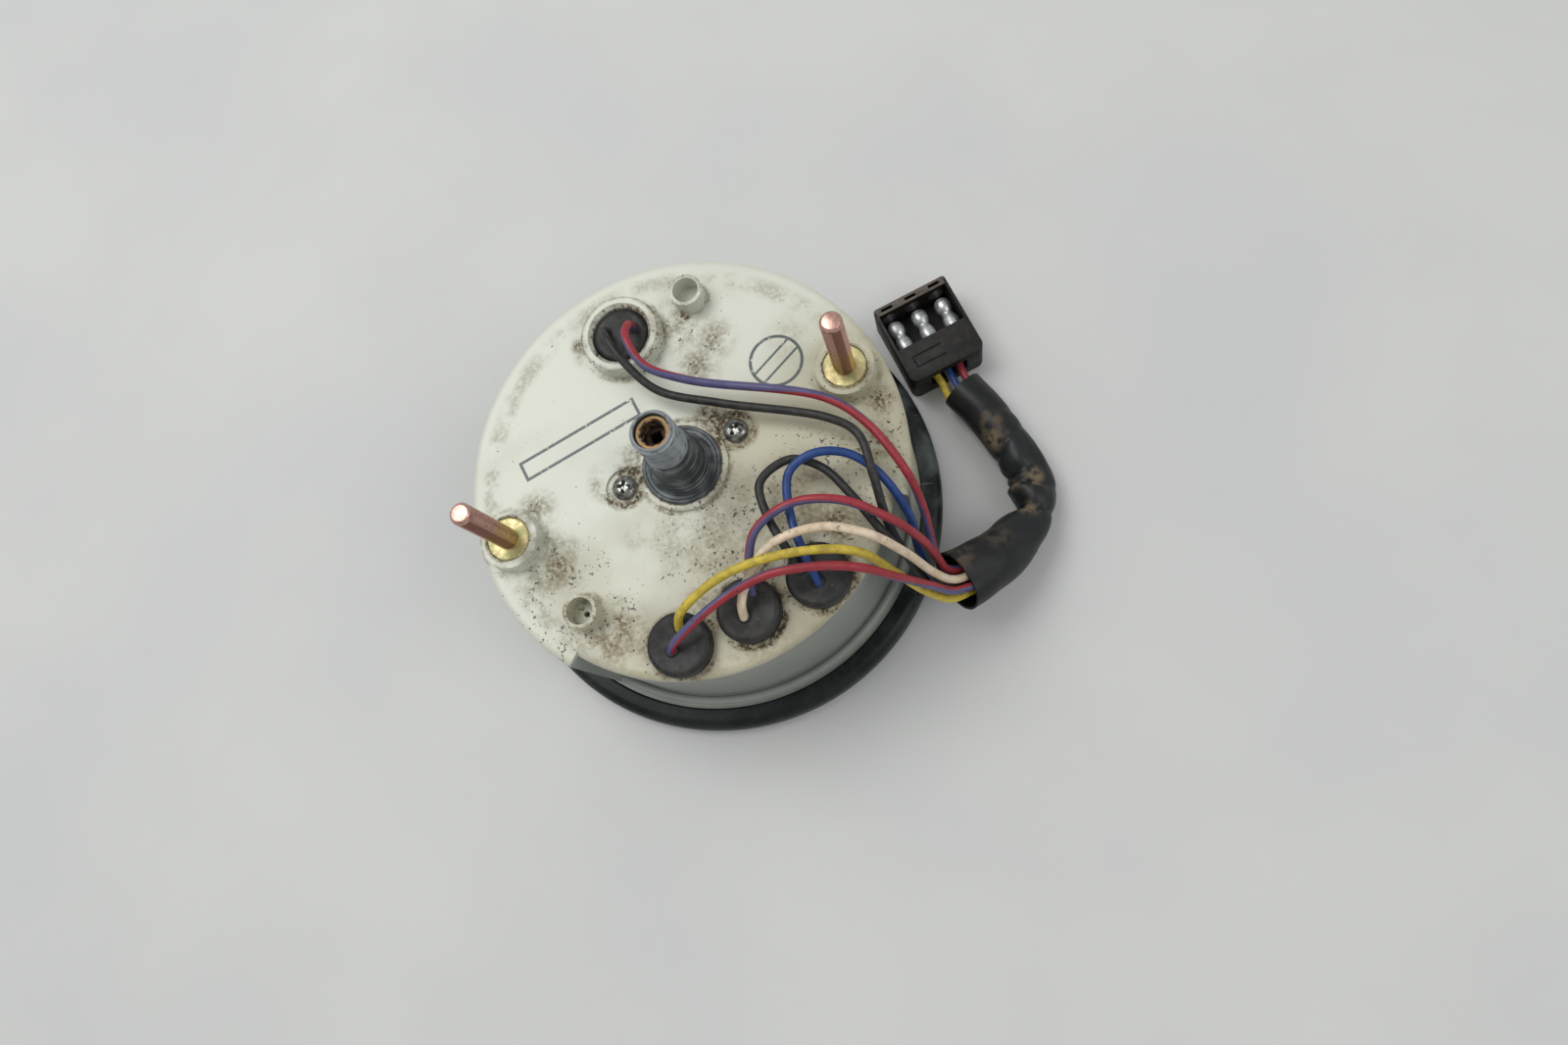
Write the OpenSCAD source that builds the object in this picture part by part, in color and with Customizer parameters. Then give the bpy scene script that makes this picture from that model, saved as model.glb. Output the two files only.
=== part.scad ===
// Mechanical speedometer with a six-drum odometer, lying on its glass, back up.
// Z = 0 is the front rim of the bezel and +Z points out of the back, along the cable socket.
// Seen from the front the dial's right is -X, and its top is +Y.

/* [Case] */
// Outer radius of the case wall
case_r = 62.3; // [61:0.1:66]
// Thickness of the case wall
case_wall = 2.5; // [1.6:0.1:3]
// Height of the case back above the front rim
back_z = 52; // [50:0.5:60]
// Thickness of the back plate
back_t = 3; // [2:0.1:4]
// Rounding of the back edge
edge_round = 2; // [0.5:0.1:2.4]
// How far the wall steps in along the lower recess
recess_depth = 3.5; // [2.5:0.1:4]
// Angle that the lower recess spans
recess_angle = 109; // [90:1:112]
// Height of the ledge at the foot of the recess, over the flange
ledge_rise = 1.2; // [0.9:0.1:3]
// Thickness of the ledge
ledge_t = 1.7; // [1.2:0.1:2]
// Radius of the bead along the ledge
bead_r = 1.3; // [0.6:0.1:1.4]
// Width of the front flange outside the wall
flange_w = 2.2; // [1.8:0.1:3]
// Thickness of the front flange
flange_t = 2; // [1.5:0.1:3]

/* [Bezel, gasket and glass] */
// Thickness of the bezel's rolled side
bezel_wall = 1.1; // [0.8:0.1:1.6]
// Thickness of the bezel's front lip
lip_t = 1.2; // [0.8:0.1:2]
// Width of the bezel's front lip
lip_w = 6.8; // [5:0.1:9]
// Thickness of the crimped edge behind the flange
crimp_t = 0.8; // [0.5:0.1:1.5]
// Gap between the crimped edge and the case wall
crimp_gap = 0.6; // [0.3:0.1:1.2]
// Thickness of the glass gasket
gasket_t = 1.3; // [0.8:0.1:2.5]
// Width of the glass gasket
gasket_w = 4.5; // [3:0.1:5]
// Width of the glass outside the case wall
glass_w = 5.2; // [4.5:0.1:8]
// Thickness of the glass
lens_t = 2.7; // [2:0.1:4]

/* [Dial and mask] */
// Thickness of the mask ring's flange
mask_t = 0.8; // [0.6:0.1:1.5]
// Thickness of the mask ring's wall
mask_wall = 1.4; // [0.8:0.1:1.8]
// Depth of the dial below the glass
dial_depth = 7.8; // [7:0.1:9]
// Thickness of the dial plate
dial_t = 1; // [0.6:0.1:1.5]
// Radius of the indicator windows
indicator_r = 4; // [3:0.1:4.3]
// Radius of the zero stop pin
stop_r = 0.6; // [0.4:0.1:1]
// Radius of the dial screws' shanks
dial_screw_r = 1; // [0.8:0.1:1.3]

/* [Pointer] */
// Length of the pointer from its axis
pointer_len = 45; // [36:0.5:50]
// Thickness of the pointer's blade
pointer_t = 0.8; // [0.5:0.1:1.2]
// Radius of the pointer's hub
hub_r = 6.5; // [5:0.1:8]
// Direction of the pointer at zero
zero_angle = -36; // [-50:1:-25]
// Radius of the pointer spindle
spindle_r = 0.75; // [0.5:0.05:0.9]

/* [Lamps] */
// Gap between the outer lower lamps' light tunnels and the case wall
lamp_gap = 0.66; // [0.4:0.02:2]
// Pitch of the three lower lamps
lamp_pitch = 20.3; // [19:0.1:20.8]
// Radius of the lower lamps' rubbers
lamp_r = 8.7; // [7.5:0.1:8.9]
// Height of the lower lamps' rubbers
lamp_h = 5; // [4:0.1:7]
// Distance of the top lamp's axis inside the case wall
top_lamp_inset = 19.5; // [18.3:0.1:21.3]
// Radius of the top lamp's rubber
top_lamp_r = 8; // [7:0.1:8.4]
// Height of the top lamp's rubber
top_lamp_h = 4.6; // [3.5:0.1:10]
// Outer radius of the collar round the top lamp
collar_r = 11.6; // [11:0.1:12.5]
// Height of the collar round the top lamp
collar_h = 5; // [3:0.1:6]
// Radius of the rubbers' shanks in the back plate
shank_r = 5.9; // [5:0.1:6]
// Wall of the light tunnels
tunnel_wall = 0.7; // [0.5:0.1:0.9]

/* [Studs, screws and blind tubes] */
// Distance of the studs' axes inside the case wall
stud_inset = 10.8; // [10.5:0.1:13]
// Height of the stud line above the axis
stud_y = 2.5; // [0:0.1:5]
// Radius of the studs' thread
stud_r = 3; // [2.5:0.1:4]
// Length of the studs above the back
stud_len = 33.5; // [20:0.5:50]
// Radius of the studs' knurled flanges
stud_flange_r = 6.2; // [5.5:0.1:6.8]
// Radius of the stud bosses at their foot
boss_r = 8.7; // [8.4:0.1:10]
// Height of the stud bosses
boss_h = 5; // [4:0.1:7]
// Distance of the movement screws from the axis
screw_at = 17.3; // [17:0.1:18]
// Radius of the movement screws' shanks
screw_r = 1.95; // [1.5:0.05:2.2]
// Radius of the movement screws' heads
screw_head_r = 3.3; // [3:0.1:4]
// Radius of the recess round a movement screw
screw_recess_r = 5.4; // [4.5:0.1:5.6]
// Outer radius of the blind tubes
tube_r = 4.7; // [4:0.1:5]
// Wall of the blind tubes
tube_wall = 1; // [0.8:0.1:1.4]
// Height of the blind tubes
tube_h = 6; // [5:0.5:12]

/* [Cable socket] */
// Radius of the socket's thread
thread_r = 5.95; // [5.6:0.05:6.2]
// Length of the socket's thread
thread_len = 12; // [10:0.5:13]
// Height of the socket above the back
socket_h = 30.5; // [29:0.5:36]
// Radius of the socket's flange
socket_flange_r = 11.2; // [10.5:0.1:11.3]
// Radius of the smooth collar under the thread
socket_collar_r = 6.85; // [6.5:0.05:7.2]
// Radius of the white rim round the socket
rim_r = 12.9; // [12.4:0.1:13.4]
// Wall of the bronze bush
bush_wall = 1.5; // [1.2:0.1:1.8]
// Radius of the drive shaft
shaft_r = 3.15; // [2.9:0.05:3.2]
// Width across the flats of the square drive hole
square_w = 2.9; // [2.4:0.1:3.2]
// Depth of the square drive hole
square_depth = 12; // [8:0.5:16]

/* [Movement] */
// Thickness of the movement frame's base
frame_t = 6; // [5:0.1:7]
// Width of the edge of the movement frame's base outside the pillars
frame_edge = 0.8; // [0.4:0.1:2]
// Radius of the movement frame's pillars
pillar_r = 3; // [2.5:0.1:3]
// Distance of the pillars from the axis
pillar_at = 21; // [20.5:0.1:22]
// Thickness of the bridge plate
bridge_t = 1.5; // [1:0.1:2]
// Outer radius of the speed cup
cup_r = 10.2; // [9.6:0.1:10.3]
// Wall of the speed cup
cup_wall = 0.5; // [0.4:0.1:0.8]
// Height of the speed cup
cup_h = 8; // [7:0.1:8.5]
// Radial gap between the magnet and the cup
magnet_gap = 1.1; // [0.6:0.1:1.5]
// Wall of the field ring
field_wall = 1.4; // [1:0.1:1.6]
// Outer radius of the hairspring's coil
spring_r = 7; // [6:0.1:7.5]
// Turns of the hairspring
spring_turns = 4; // [3:1:5]

/* [Odometer] */
// Radius of the odometer drums
drum_r = 8.6; // [8.2:0.1:8.8]
// Width of one drum
drum_w = 4.2; // [3.8:0.1:4.4]
// Distance of the drum axis below the dial's centre
drum_drop = 24; // [24:0.1:24.5]
// Radius of the first worm over its thread
worm_r = 2.9; // [2.7:0.1:3.1]
// Teeth of the cross shaft's wheel
wheel_teeth = 28; // [24:1:32]
// Distance between the drive shaft and the cross shaft
cross_at = 8.4; // [8:0.1:8.6]
// Radius of the second worm over its thread
worm2_r = 2.4; // [2.2:0.1:2.6]
// Teeth of the drum gear
gear_teeth = 50; // [40:1:60]
// Distance between the cross shaft and the drum axis
gear_rise = 11.5; // [11.2:0.1:11.7]
// Radius of the carry pinions
pinion_r = 2.4; // [2:0.1:2.5]
// Radius of the odometer's shafts
odo_shaft_r = 1; // [0.8:0.1:1.2]

/* [Wires, sleeve and connector] */
// Diameter of a wire
wire_d = 2.4; // [1.6:0.1:2.4]
// Diameter of the sleeve
sleeve_d = 14; // [12:0.1:14]
// Width of the connector
conn_w = 25; // [24:0.1:30]
// Length of the connector
conn_len = 28; // [28:0.1:32]
// Height of the connector
conn_h = 14; // [13.5:0.1:18]
// Gap between the outer terminals and the pocket's side walls
term_gap = 0.4; // [0.2:0.05:1.2]
// Radius of the terminals' heads
term_r = 2.45; // [2:0.05:2.5]

/* [Hidden] */
$fn = 96;
// Overrun of a cut past the faces it goes through
over = 1;
// Radial clearance of a fixed pin in its hole
snug = 0.02;
// Radial clearance of a turning shaft in its bore
running = 0.05;
// Clearance round parts that pass without touching
clear = 0.3;

// Front stack, from the bezel's lip to its crimped edge
gasket_z = lip_t;
lens_z = gasket_z + gasket_t;
mask_z = lens_z + lens_t;
flange_z = mask_z + mask_t;
crimp_z = flange_z + flange_t;
bezel_h = crimp_z + crimp_t;
flange_r = case_r + flange_w;
lens_r = case_r + glass_w;
bezel_in_r = lens_r + 0.7;
bezel_r = bezel_in_r + bezel_wall;

// Case
case_in_r = case_r - case_wall;
plate_z = back_z - back_t;
recess_r = case_r - recess_depth;
recess_in_r = recess_r - case_wall;
recess_from = -90 - recess_angle / 2;
ledge_z = crimp_z + ledge_rise;
bead_at = (recess_r + case_r) / 2;
step_angle = 2 * asin(case_wall / 2 / recess_in_r);

// Dial
dial_r = recess_in_r - 0.5;
mask_in_r = dial_r - mask_wall;
dial_z = mask_z + dial_depth;
dial_back_z = dial_z + dial_t;
pointer_rise = 3.8;
pointer_z = dial_z - pointer_rise;
hub_top_z = dial_z - 1.6;
hub_z = pointer_z - 0.6;
pointer_tail = 14;
pointer_half_w = 2.4;
point_len = 4;
cap_h = 1.4;
stop_angle = zero_angle - 4;
stop_at = 30;
dial_screw_grip = 4.5;

// Lamps, where the outer two of the lower row come next to the case wall
tunnel_r = shank_r + 0.1;
tunnel_in_r = tunnel_r - tunnel_wall;
lamp_drop = sqrt(pow(recess_in_r - tunnel_r - lamp_gap, 2) - pow(lamp_pitch, 2));
lamp_points = [[lamp_pitch, -lamp_drop], [0, -lamp_drop], [-lamp_pitch, -lamp_drop]];
top_lamp = [0, case_r - top_lamp_inset];
collar_rim_z = back_z + collar_h;
rubber_lip_r = shank_r + 0.25;
rubber_lip_t = 2;
bulb_r = 3.2;
bulb_base_r = 3.9;
bulb_len = 12;
tunnel_top_z = plate_z - rubber_lip_t - 1.5;
web_t = 1.2;
web_h = 12;

// Studs, screws and tubes
stud_x = case_r - stud_inset;
stud_points = [[stud_x, stud_y], [-stud_x, stud_y]];
stud_top_z = back_z + stud_len;
boss_top_z = back_z + boss_h;
stud_root_z = plate_z - 3;
stud_shank_r = stud_r - 0.4;
stud_flange_t = 1.5;
inner_boss_r = stud_r + 3;
screw_points = [[screw_at, stud_y - 0.2], [-screw_at, stud_y - 0.2]];
screw_recess_t = 0.8;
screw_head_h = 2.3;
upper_tube_at = case_r - 12.4;
upper_tube_angle = 63.6;
lower_tube_at = case_r - 14.35;
lower_tube_angle = 212.1;
tube_points = [upper_tube_at * [cos(upper_tube_angle), sin(upper_tube_angle)],
    lower_tube_at * [cos(lower_tube_angle), sin(lower_tube_angle)]];
vent_r = 0.8;

// Cable socket and drive
frame_z = plate_z - frame_t;
frame_r = pillar_at + pillar_r + frame_edge;
socket_tip_z = back_z + socket_h;
tip_h = 1.5;
thread_z = socket_tip_z - tip_h - thread_len;
groove_h = 1.5;
groove_r = thread_r - 0.75;
collar_top_z = thread_z - groove_h;
collar_z = back_z + 9;
socket_flange_z = back_z + 2;
skirt_r = socket_collar_r + 1.75;
bush_in_r = shaft_r + running;
bush_r = bush_in_r + bush_wall;
socket_bore_r = bush_r + snug;
bush_top_z = socket_tip_z - tip_h;
bush_z = frame_z + 1;
shaft_top_z = socket_tip_z - 5.5;
thrust_r = bush_r - 0.6;
hub_bore_r = socket_flange_r + snug;

// Speed cup, magnet and field ring, set from the dial
bridge_z = dial_back_z;
spring_z = bridge_z + bridge_t + 0.7;
spring_h = 0.6;
collet_r = 1.8;
spring_thick = 0.24;
cup_z = bridge_z + bridge_t + 3;
cup_floor = 0.6;
cup_top_z = cup_z + cup_h;
nose_z = cup_z + 1.5;
magnet_z = nose_z + 0.5;
magnet_r = cup_r - cup_wall - magnet_gap;
stem_r = 2.5;
field_in_r = cup_r + 0.6;
field_r = field_in_r + field_wall;
field_top_z = cup_top_z + 1.5;
field_plate_t = 1;
spindle_z = pointer_z - 0.4;
spindle_top_z = nose_z + 2.5;

// Odometer train, set from the movement frame
cross_z = frame_z - 6.5;
cross_shaft_r = 1;
wheel_r = cross_at - worm_r - clear;
wheel_w = 3;
drum_y = -drum_drop;
drum_z = cross_z - gear_rise;
gear_r = gear_rise - worm2_r - clear;
gear_w = 2.5;
drum_pitch = drum_w + 0.1;
gear_x = -cross_at;
drum_x0 = gear_x + gear_w / 2 + 0.25;
drum_count = 6;
drum_x1 = drum_x0 + drum_count * drum_pitch;
carry_off = (drum_r + pinion_r + clear) / sqrt(2);
carry_y = drum_y - carry_off;
carry_z = drum_z + carry_off;
carry_shaft_r = 0.8;
pinion_w = 3;
near_ear_y = 5;
far_ear_y = drum_y - 8.2;
ear_t = 2;
ear_w = 5;
bracket_t = 1;
bracket_side = 2.5;
bracket_foot = 3;
bracket_y0 = carry_y - bracket_side;
bracket_y1 = drum_y + 5;
bracket_x0 = gear_x - gear_w / 2 - 3.3;
bracket_x1 = drum_x1 + 1.6;
odo_shaft_x0 = bracket_x0;
odo_shaft_x1 = bracket_x1 + bracket_t;
tongue_t = 3;
tongue_x0 = bracket_x0 - 1;
tongue_x1 = bracket_x1 + bracket_t + 0.5;
tongue_y = far_ear_y - 1.5;
window_h = 8.4;

// Connector
conn_x = 83.1;
conn_y = 5;
conn_edge = 1.5;
block_len = 12;
end_wall = 3;
side_wall = 1.9;
term_pitch = (conn_w - 2 * (side_wall + term_gap + term_r)) / 2;
pocket_z = 3;
pocket_y = conn_y + block_len;
pocket_len = conn_len - block_len - end_wall;
term_z = 9;
term_x = [conn_x - term_pitch, conn_x, conn_x + term_pitch];
wire_x = [conn_x - 4, conn_x, conn_x + 4];
wire_in_z = 7.4;

// Wire routes, from inside a lamp's rubber to inside the sleeve
route_top_black = [
    [-3.5, 45.8, 55], [-3.5, 44.2, 59.4], [-3.1, 39.6, 62.8], [-1.6, 31.5, 62], [3.2, 20.5, 59.2],
    [17, 9, 58.3], [41, -9, 58.3], [46, -18.5, 61.8], [44.6, -29.5, 61.8], [42.6, -40.4, 55],
    [44, -49.6, 35.5], [46.8, -57, 25], [51, -60.8, 20], [57.5, -61, 17.3]];
route_top_red = [
    [4.2, 43, 55], [3.8, 41.6, 60.8], [2, 36.6, 64.4], [3.2, 27, 63.6], [11.8, 18.4, 61],
    [42.5, -3.8, 59.7], [49.3, -15, 58.6], [52.8, -31.5, 56.5], [53, -39.5, 46], [51.4, -47.4, 33],
    [51.6, -52, 25.6], [54, -54.4, 21.4], [59.5, -54.2, 19]];
route_right_blue = [
    [19.5, -48.3, 55.5], [19.6, -44, 58.8], [20.6, -30, 59.8], [25.5, -18.8, 61.2], [33.3, -17.4, 61.8],
    [41, -20.9, 60.4], [46, -28.5, 58.4], [48.6, -39.4, 50], [47.5, -46.2, 35], [47.4, -52, 25.4],
    [50, -55.6, 20.6], [56, -56.4, 17.9]];
route_right_black = [
    [16.8, -43.2, 55.5], [16.4, -39, 59], [15.4, -26, 60.4], [17.5, -17.2, 60], [27, -14.8, 58.7],
    [33.7, -20.5, 57.8], [37.4, -31, 57.2], [40.6, -43.9, 53.8], [46.6, -52.4, 37], [49.8, -56.6, 27.4],
    [53, -58.4, 23], [58.5, -58.2, 20.6]];
route_middle_red = [
    [2.9, -42.3, 55.5], [4.4, -38, 58.6], [10.5, -29.4, 62], [22, -27.7, 65], [34, -32.8, 65],
    [43, -41.5, 60], [48.5, -47.5, 48], [50.8, -51.2, 35], [52, -53.8, 28.4], [55, -54.8, 24.6],
    [60, -54.6, 22.4]];
route_middle_white = [
    [-2, -47.5, 55.5], [0, -43.8, 60.8], [6.4, -37.8, 63], [14.2, -34.9, 64.8], [26.8, -37.2, 66],
    [36.4, -43.8, 64], [42.9, -50.1, 54], [47.5, -55, 40], [51.4, -57.4, 30.4], [54.6, -57.8, 26.8],
    [60, -57.2, 24.6]];
route_left_yellow = [
    [-18.8, -42.2, 55.5], [-15.8, -39.3, 60.5], [-3.7, -36.8, 64.5], [9.2, -38, 67], [23.5, -42.1, 66],
    [32.2, -46.2, 61.5], [38.4, -52, 46.5], [44.4, -58, 31], [50, -61.4, 23.8], [57, -61.4, 20.6]];
route_left_red = [
    [-23.3, -46.3, 55.5], [-19.8, -45.2, 60.2], [-4.7, -42, 64.3], [9.1, -42, 66], [21.2, -45.6, 65.6],
    [30.1, -49.7, 62.4], [37.6, -54.2, 53.2], [45.4, -57.8, 38.5], [51, -60.4, 28.4], [57.2, -61, 24.3]];
// Sleeve route, from its mouth beside the case to its end at the connector
route_sleeve = [
    [51.9, -57.6, 24], [61, -56.6, 20.2], [70.5, -54.3, 15.5], [79, -49.7, 11], [85.3, -43.2, 8.2],
    [88, -36.5, 7.1], [88.5, -28.9, 7.1], [88, -19.9, 7.1], [86.5, -10.9, 7.1], [84, -1.5, 7.1]];

// Unit vector of v
function unit(v) = v / norm(v);
// Direction of a route at point i
function heading(p, i) = i == 0 ? unit(p[1] - p[0])
    : i == len(p) - 1 ? unit(p[i] - p[i - 1])
    : unit(unit(p[i] - p[i - 1]) + unit(p[i + 1] - p[i]));
// Part of v square to the direction t, as a unit vector
function square_to(v, t) = unit(v - (v * t) * t);
// Side vectors carried along a route without twist
function sides_along(p, i, found) = i == len(p) ? found
    : sides_along(p, i + 1, concat(found, [square_to(found[i - 1], heading(p, i))]));
function first_side(p) = square_to(abs(heading(p, 0)[2]) < 0.9 ? [0, 0, 1] : [1, 0, 0], heading(p, 0));
// Ring of n points round route point i
function ring_at(p, i, side, r, n) = [for (k = [0 : n - 1])
    p[i] + r * (cos(360 * k / n) * side + sin(360 * k / n) * cross(heading(p, i), side))];
// Points of an arc about centre c in a profile
function arc(c, r, from, to, steps) = [for (k = [0 : steps])
    c + r * [cos(from + (to - from) * k / steps), sin(from + (to - from) * k / steps)]];
// Outline of a gear with n flat-topped teeth
function gear_outline(n, root, tip) = [for (i = [0 : n - 1])
    for (t = [[-0.32, root], [-0.16, tip], [0.16, tip], [0.32, root]])
        t[1] * [cos(360 * (i + t[0]) / n), sin(360 * (i + t[0]) / n)]];
// One edge of the hairspring's spiral, shifted sideways by half its thickness
function spiral(shift, from, to, turns) = [for (k = [0 : turns * 24])
    (from + (to - from) * k / (turns * 24) + shift) * [cos(15 * k), sin(15 * k)]];
function reversed(list) = [for (i = [len(list) - 1 : -1 : 0]) list[i]];

// Round tube swept along a route
module swept(route, d, n) {
    sides = sides_along(route, 1, [first_side(route)]);
    rings = len(route);
    points = [for (i = [0 : rings - 1]) each ring_at(route, i, sides[i], d / 2, n)];
    walls = [for (i = [0 : rings - 2]) for (k = [0 : n - 1])
        let (a = i * n + k, b = i * n + (k + 1) % n) each [[a, a + n, b], [b, a + n, b + n]]];
    start_cap = [for (k = [1 : n - 2]) [0, k, k + 1]];
    last = (rings - 1) * n;
    end_cap = [for (k = [1 : n - 2]) [last, last + k + 1, last + k]];
    polyhedron(points, concat(walls, start_cap, end_cap));
}

// Solid turned about Z from a profile of radius and height
module turned(profile) {
    rotate_extrude() polygon(profile);
}

// Flat ring between two radii and two heights
module washer(r_out, r_in, z0, z1) {
    turned([[r_in, z0], [r_out, z0], [r_out, z1], [r_in, z1]]);
}

// Cylinder between two heights
module post(r, z0, z1) {
    translate([0, 0, z0]) cylinder(r = r, h = z1 - z0);
}

// Children copied to each of a list of flat points
module at_each(points) {
    for (p = points) translate([p[0], p[1], 0]) children();
}

// Children turned to run along +X, from the origin
module along_x() {
    rotate([90, 0, 90]) children();
}

// Children turned to run along +Y, from the origin
module along_y() {
    rotate([-90, 0, 0]) children();
}

// Outer form of the case before the recess and the hollow are cut
module case_form() {
    turned(concat(
        [[0, flange_z], [flange_r, flange_z], [flange_r, crimp_z], [case_r, crimp_z]],
        arc([case_r - edge_round, back_z - edge_round], edge_round, 0, 90, 6),
        [[0, back_z]]));
}

// Space outside the stepped-in wall along the lower recess
module recess_space() {
    rotate([0, 0, recess_from]) rotate_extrude(angle = recess_angle) polygon(concat(
        [[recess_r, ledge_z]],
        arc([recess_r - edge_round, back_z - edge_round], edge_round, 0, 90, 6),
        [[recess_r - edge_round, back_z + over], [case_r + over, back_z + over], [case_r + over, ledge_z]],
        arc([bead_at, ledge_z], bead_r, 0, 180, 10)));
}

// Hollow of the case, which follows the recess
module case_hollow() {
    difference() {
        post(case_in_r, flange_z - over, plate_z);
        rotate([0, 0, recess_from - step_angle])
            rotate_extrude(angle = recess_angle + 2 * step_angle)
                polygon([[recess_in_r, ledge_z - ledge_t], [case_r, ledge_z - ledge_t],
                    [case_r, back_z], [recess_in_r, back_z]]);
    }
}

// Case: back plate, stepped wall, front flange, bosses, collars and blind tubes
module case() {
    color([0.80, 0.77, 0.68]) difference() {
        union() {
            difference() {
                case_form();
                recess_space();
                case_hollow();
                at_each(screw_points) post(screw_recess_r, back_z - screw_recess_t, back_z + over);
            }
            washer(rim_r, hub_bore_r, plate_z, back_z + 1);
            at_each(stud_points) {
                translate([0, 0, back_z - 0.5]) cylinder(r1 = boss_r, r2 = boss_r - 0.5, h = boss_h + 0.5);
                post(inner_boss_r, stud_root_z - 2, plate_z + 0.5);
            }
            at_each([top_lamp]) turned([[top_lamp_r + clear, back_z - 0.5], [collar_r, back_z - 0.5],
                [collar_r, collar_rim_z - 0.8], [collar_r - 0.8, collar_rim_z],
                [top_lamp_r + clear + 1, collar_rim_z], [top_lamp_r + clear, collar_rim_z - 1]]);
            at_each(tube_points) washer(tube_r, tube_r - tube_wall, back_z - 0.5, back_z + tube_h);
        }
        post(hub_bore_r, plate_z - over, back_z + 2);
        at_each(stud_points) {
            post(stud_shank_r + snug, stud_root_z, stud_top_z);
            post(stud_flange_r + snug, boss_top_z - stud_flange_t + 0.1, boss_top_z + over);
        }
        at_each(screw_points) post(screw_r + 0.25, plate_z - over, back_z + over);
        at_each(concat([top_lamp], lamp_points)) post(shank_r + 0.1, plate_z - over, back_z + over);
        translate([tube_points[1][0], tube_points[1][1], 0]) post(vent_r, plate_z - over, back_z + over);
    }
}

// Bezel rolled round the case flange
module bezel() {
    corner = 0.8;
    color([0.10, 0.11, 0.12]) turned(concat(
        [[bezel_r - lip_w, 0]],
        arc([bezel_r - corner, corner], corner, -90, 0, 5),
        arc([bezel_r - corner / 2, bezel_h - corner / 2], corner / 2, 0, 90, 4),
        [[case_r + crimp_gap, bezel_h], [case_r + crimp_gap, crimp_z], [bezel_in_r, crimp_z],
            [bezel_in_r, lip_t], [bezel_r - lip_w, lip_t]]));
}

// Gasket between the bezel's lip and the glass
module lens_gasket() {
    color([0.08, 0.08, 0.08]) washer(lens_r, lens_r - gasket_w, gasket_z, lens_z);
}

// Flat glass
module lens() {
    color([0.80, 0.86, 0.88, 0.35]) post(lens_r, lens_z, mask_z);
}

// Black ring between the glass and the dial's edge
module mask_ring() {
    color([0.07, 0.07, 0.08]) turned([
        [mask_in_r + 4.2, mask_z], [lens_r, mask_z], [lens_r, flange_z], [case_in_r - 0.5, flange_z],
        [dial_r, ledge_z - ledge_t - 0.2], [dial_r, dial_z], [mask_in_r, dial_z],
        [mask_in_r, flange_z + 0.9]]);
}

// Dial plate with its window, indicator holes and screw holes
module dial_plate() {
    color([0.09, 0.09, 0.10]) difference() {
        post(dial_r, dial_z, dial_back_z);
        post(spindle_r + 2.25, dial_z - over, dial_back_z + over);
        translate([drum_x0 - 0.3, drum_y - window_h / 2, dial_z - over])
            cube([drum_count * drum_pitch + 0.6, window_h, dial_t + 2 * over]);
        at_each(lamp_points) post(indicator_r + snug, dial_z - over, dial_back_z + over);
        at_each([[pillar_at, 0], [-pillar_at, 0]])
            post(dial_screw_r + 0.1, dial_z - over, dial_back_z + over);
        rotate([0, 0, stop_angle]) translate([stop_at, 0, 0])
            post(stop_r + snug, dial_z - over, dial_back_z + over);
    }
}

// Coloured indicator lenses, seated in the dial from behind
module indicator_lenses() {
    color([0.20, 0.55, 0.30, 0.8]) at_each(lamp_points) turned([
        [0, dial_z - 0.5], [indicator_r - 0.6, dial_z - 0.4], [indicator_r, dial_z],
        [indicator_r, dial_back_z], [indicator_r + 0.8, dial_back_z], [indicator_r + 0.8, dial_back_z + 0.8],
        [0, dial_back_z + 0.8]]);
}

// Pin that stops the pointer at zero
module zero_stop() {
    color([0.75, 0.75, 0.76]) rotate([0, 0, stop_angle]) translate([stop_at, 0, 0])
        post(stop_r, pointer_z - 0.4, dial_back_z);
}

// Pointer blade with its hub
module pointer() {
    color([0.85, 0.25, 0.10]) difference() {
        rotate([0, 0, zero_angle]) union() {
            translate([0, 0, pointer_z]) linear_extrude(pointer_t) polygon([
                [-pointer_tail, -pointer_half_w], [-pointer_tail, pointer_half_w], [0, pointer_half_w - 0.2],
                [pointer_len - point_len, 0.9], [pointer_len, 0], [pointer_len - point_len, -0.9],
                [0, 0.2 - pointer_half_w]]);
            post(hub_r, hub_z, hub_top_z);
        }
        post(spindle_r + snug, hub_z - over, hub_top_z + over);
    }
}

// Cap over the pointer's hub
module pointer_cap() {
    color([0.07, 0.07, 0.07]) turned([[0, hub_z - cap_h], [hub_r - 1.2, hub_z - cap_h],
        [hub_r - 0.3, hub_z - cap_h + 0.4], [hub_r, hub_z - 0.6], [hub_r, hub_z], [0, hub_z]]);
}

// Thin steel spindle from the pointer to the nose of the drive shaft
module pointer_spindle() {
    color([0.75, 0.76, 0.78]) post(spindle_r, spindle_z, spindle_top_z);
}

// Flat spiral hairspring, drawn at rest, with the pin that holds its outer end
module hairspring() {
    first = collet_r + running + spring_thick / 2;
    color([0.72, 0.60, 0.30]) union() {
        translate([0, 0, spring_z]) linear_extrude(spring_h) polygon(concat(
            spiral(spring_thick / 2, first, spring_r, spring_turns),
            reversed(spiral(-spring_thick / 2, first, spring_r, spring_turns))));
        translate([spring_r + 0.3, 0, 0]) post(0.45, bridge_z + bridge_t, spring_z + spring_h + 0.2);
    }
}

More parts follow.
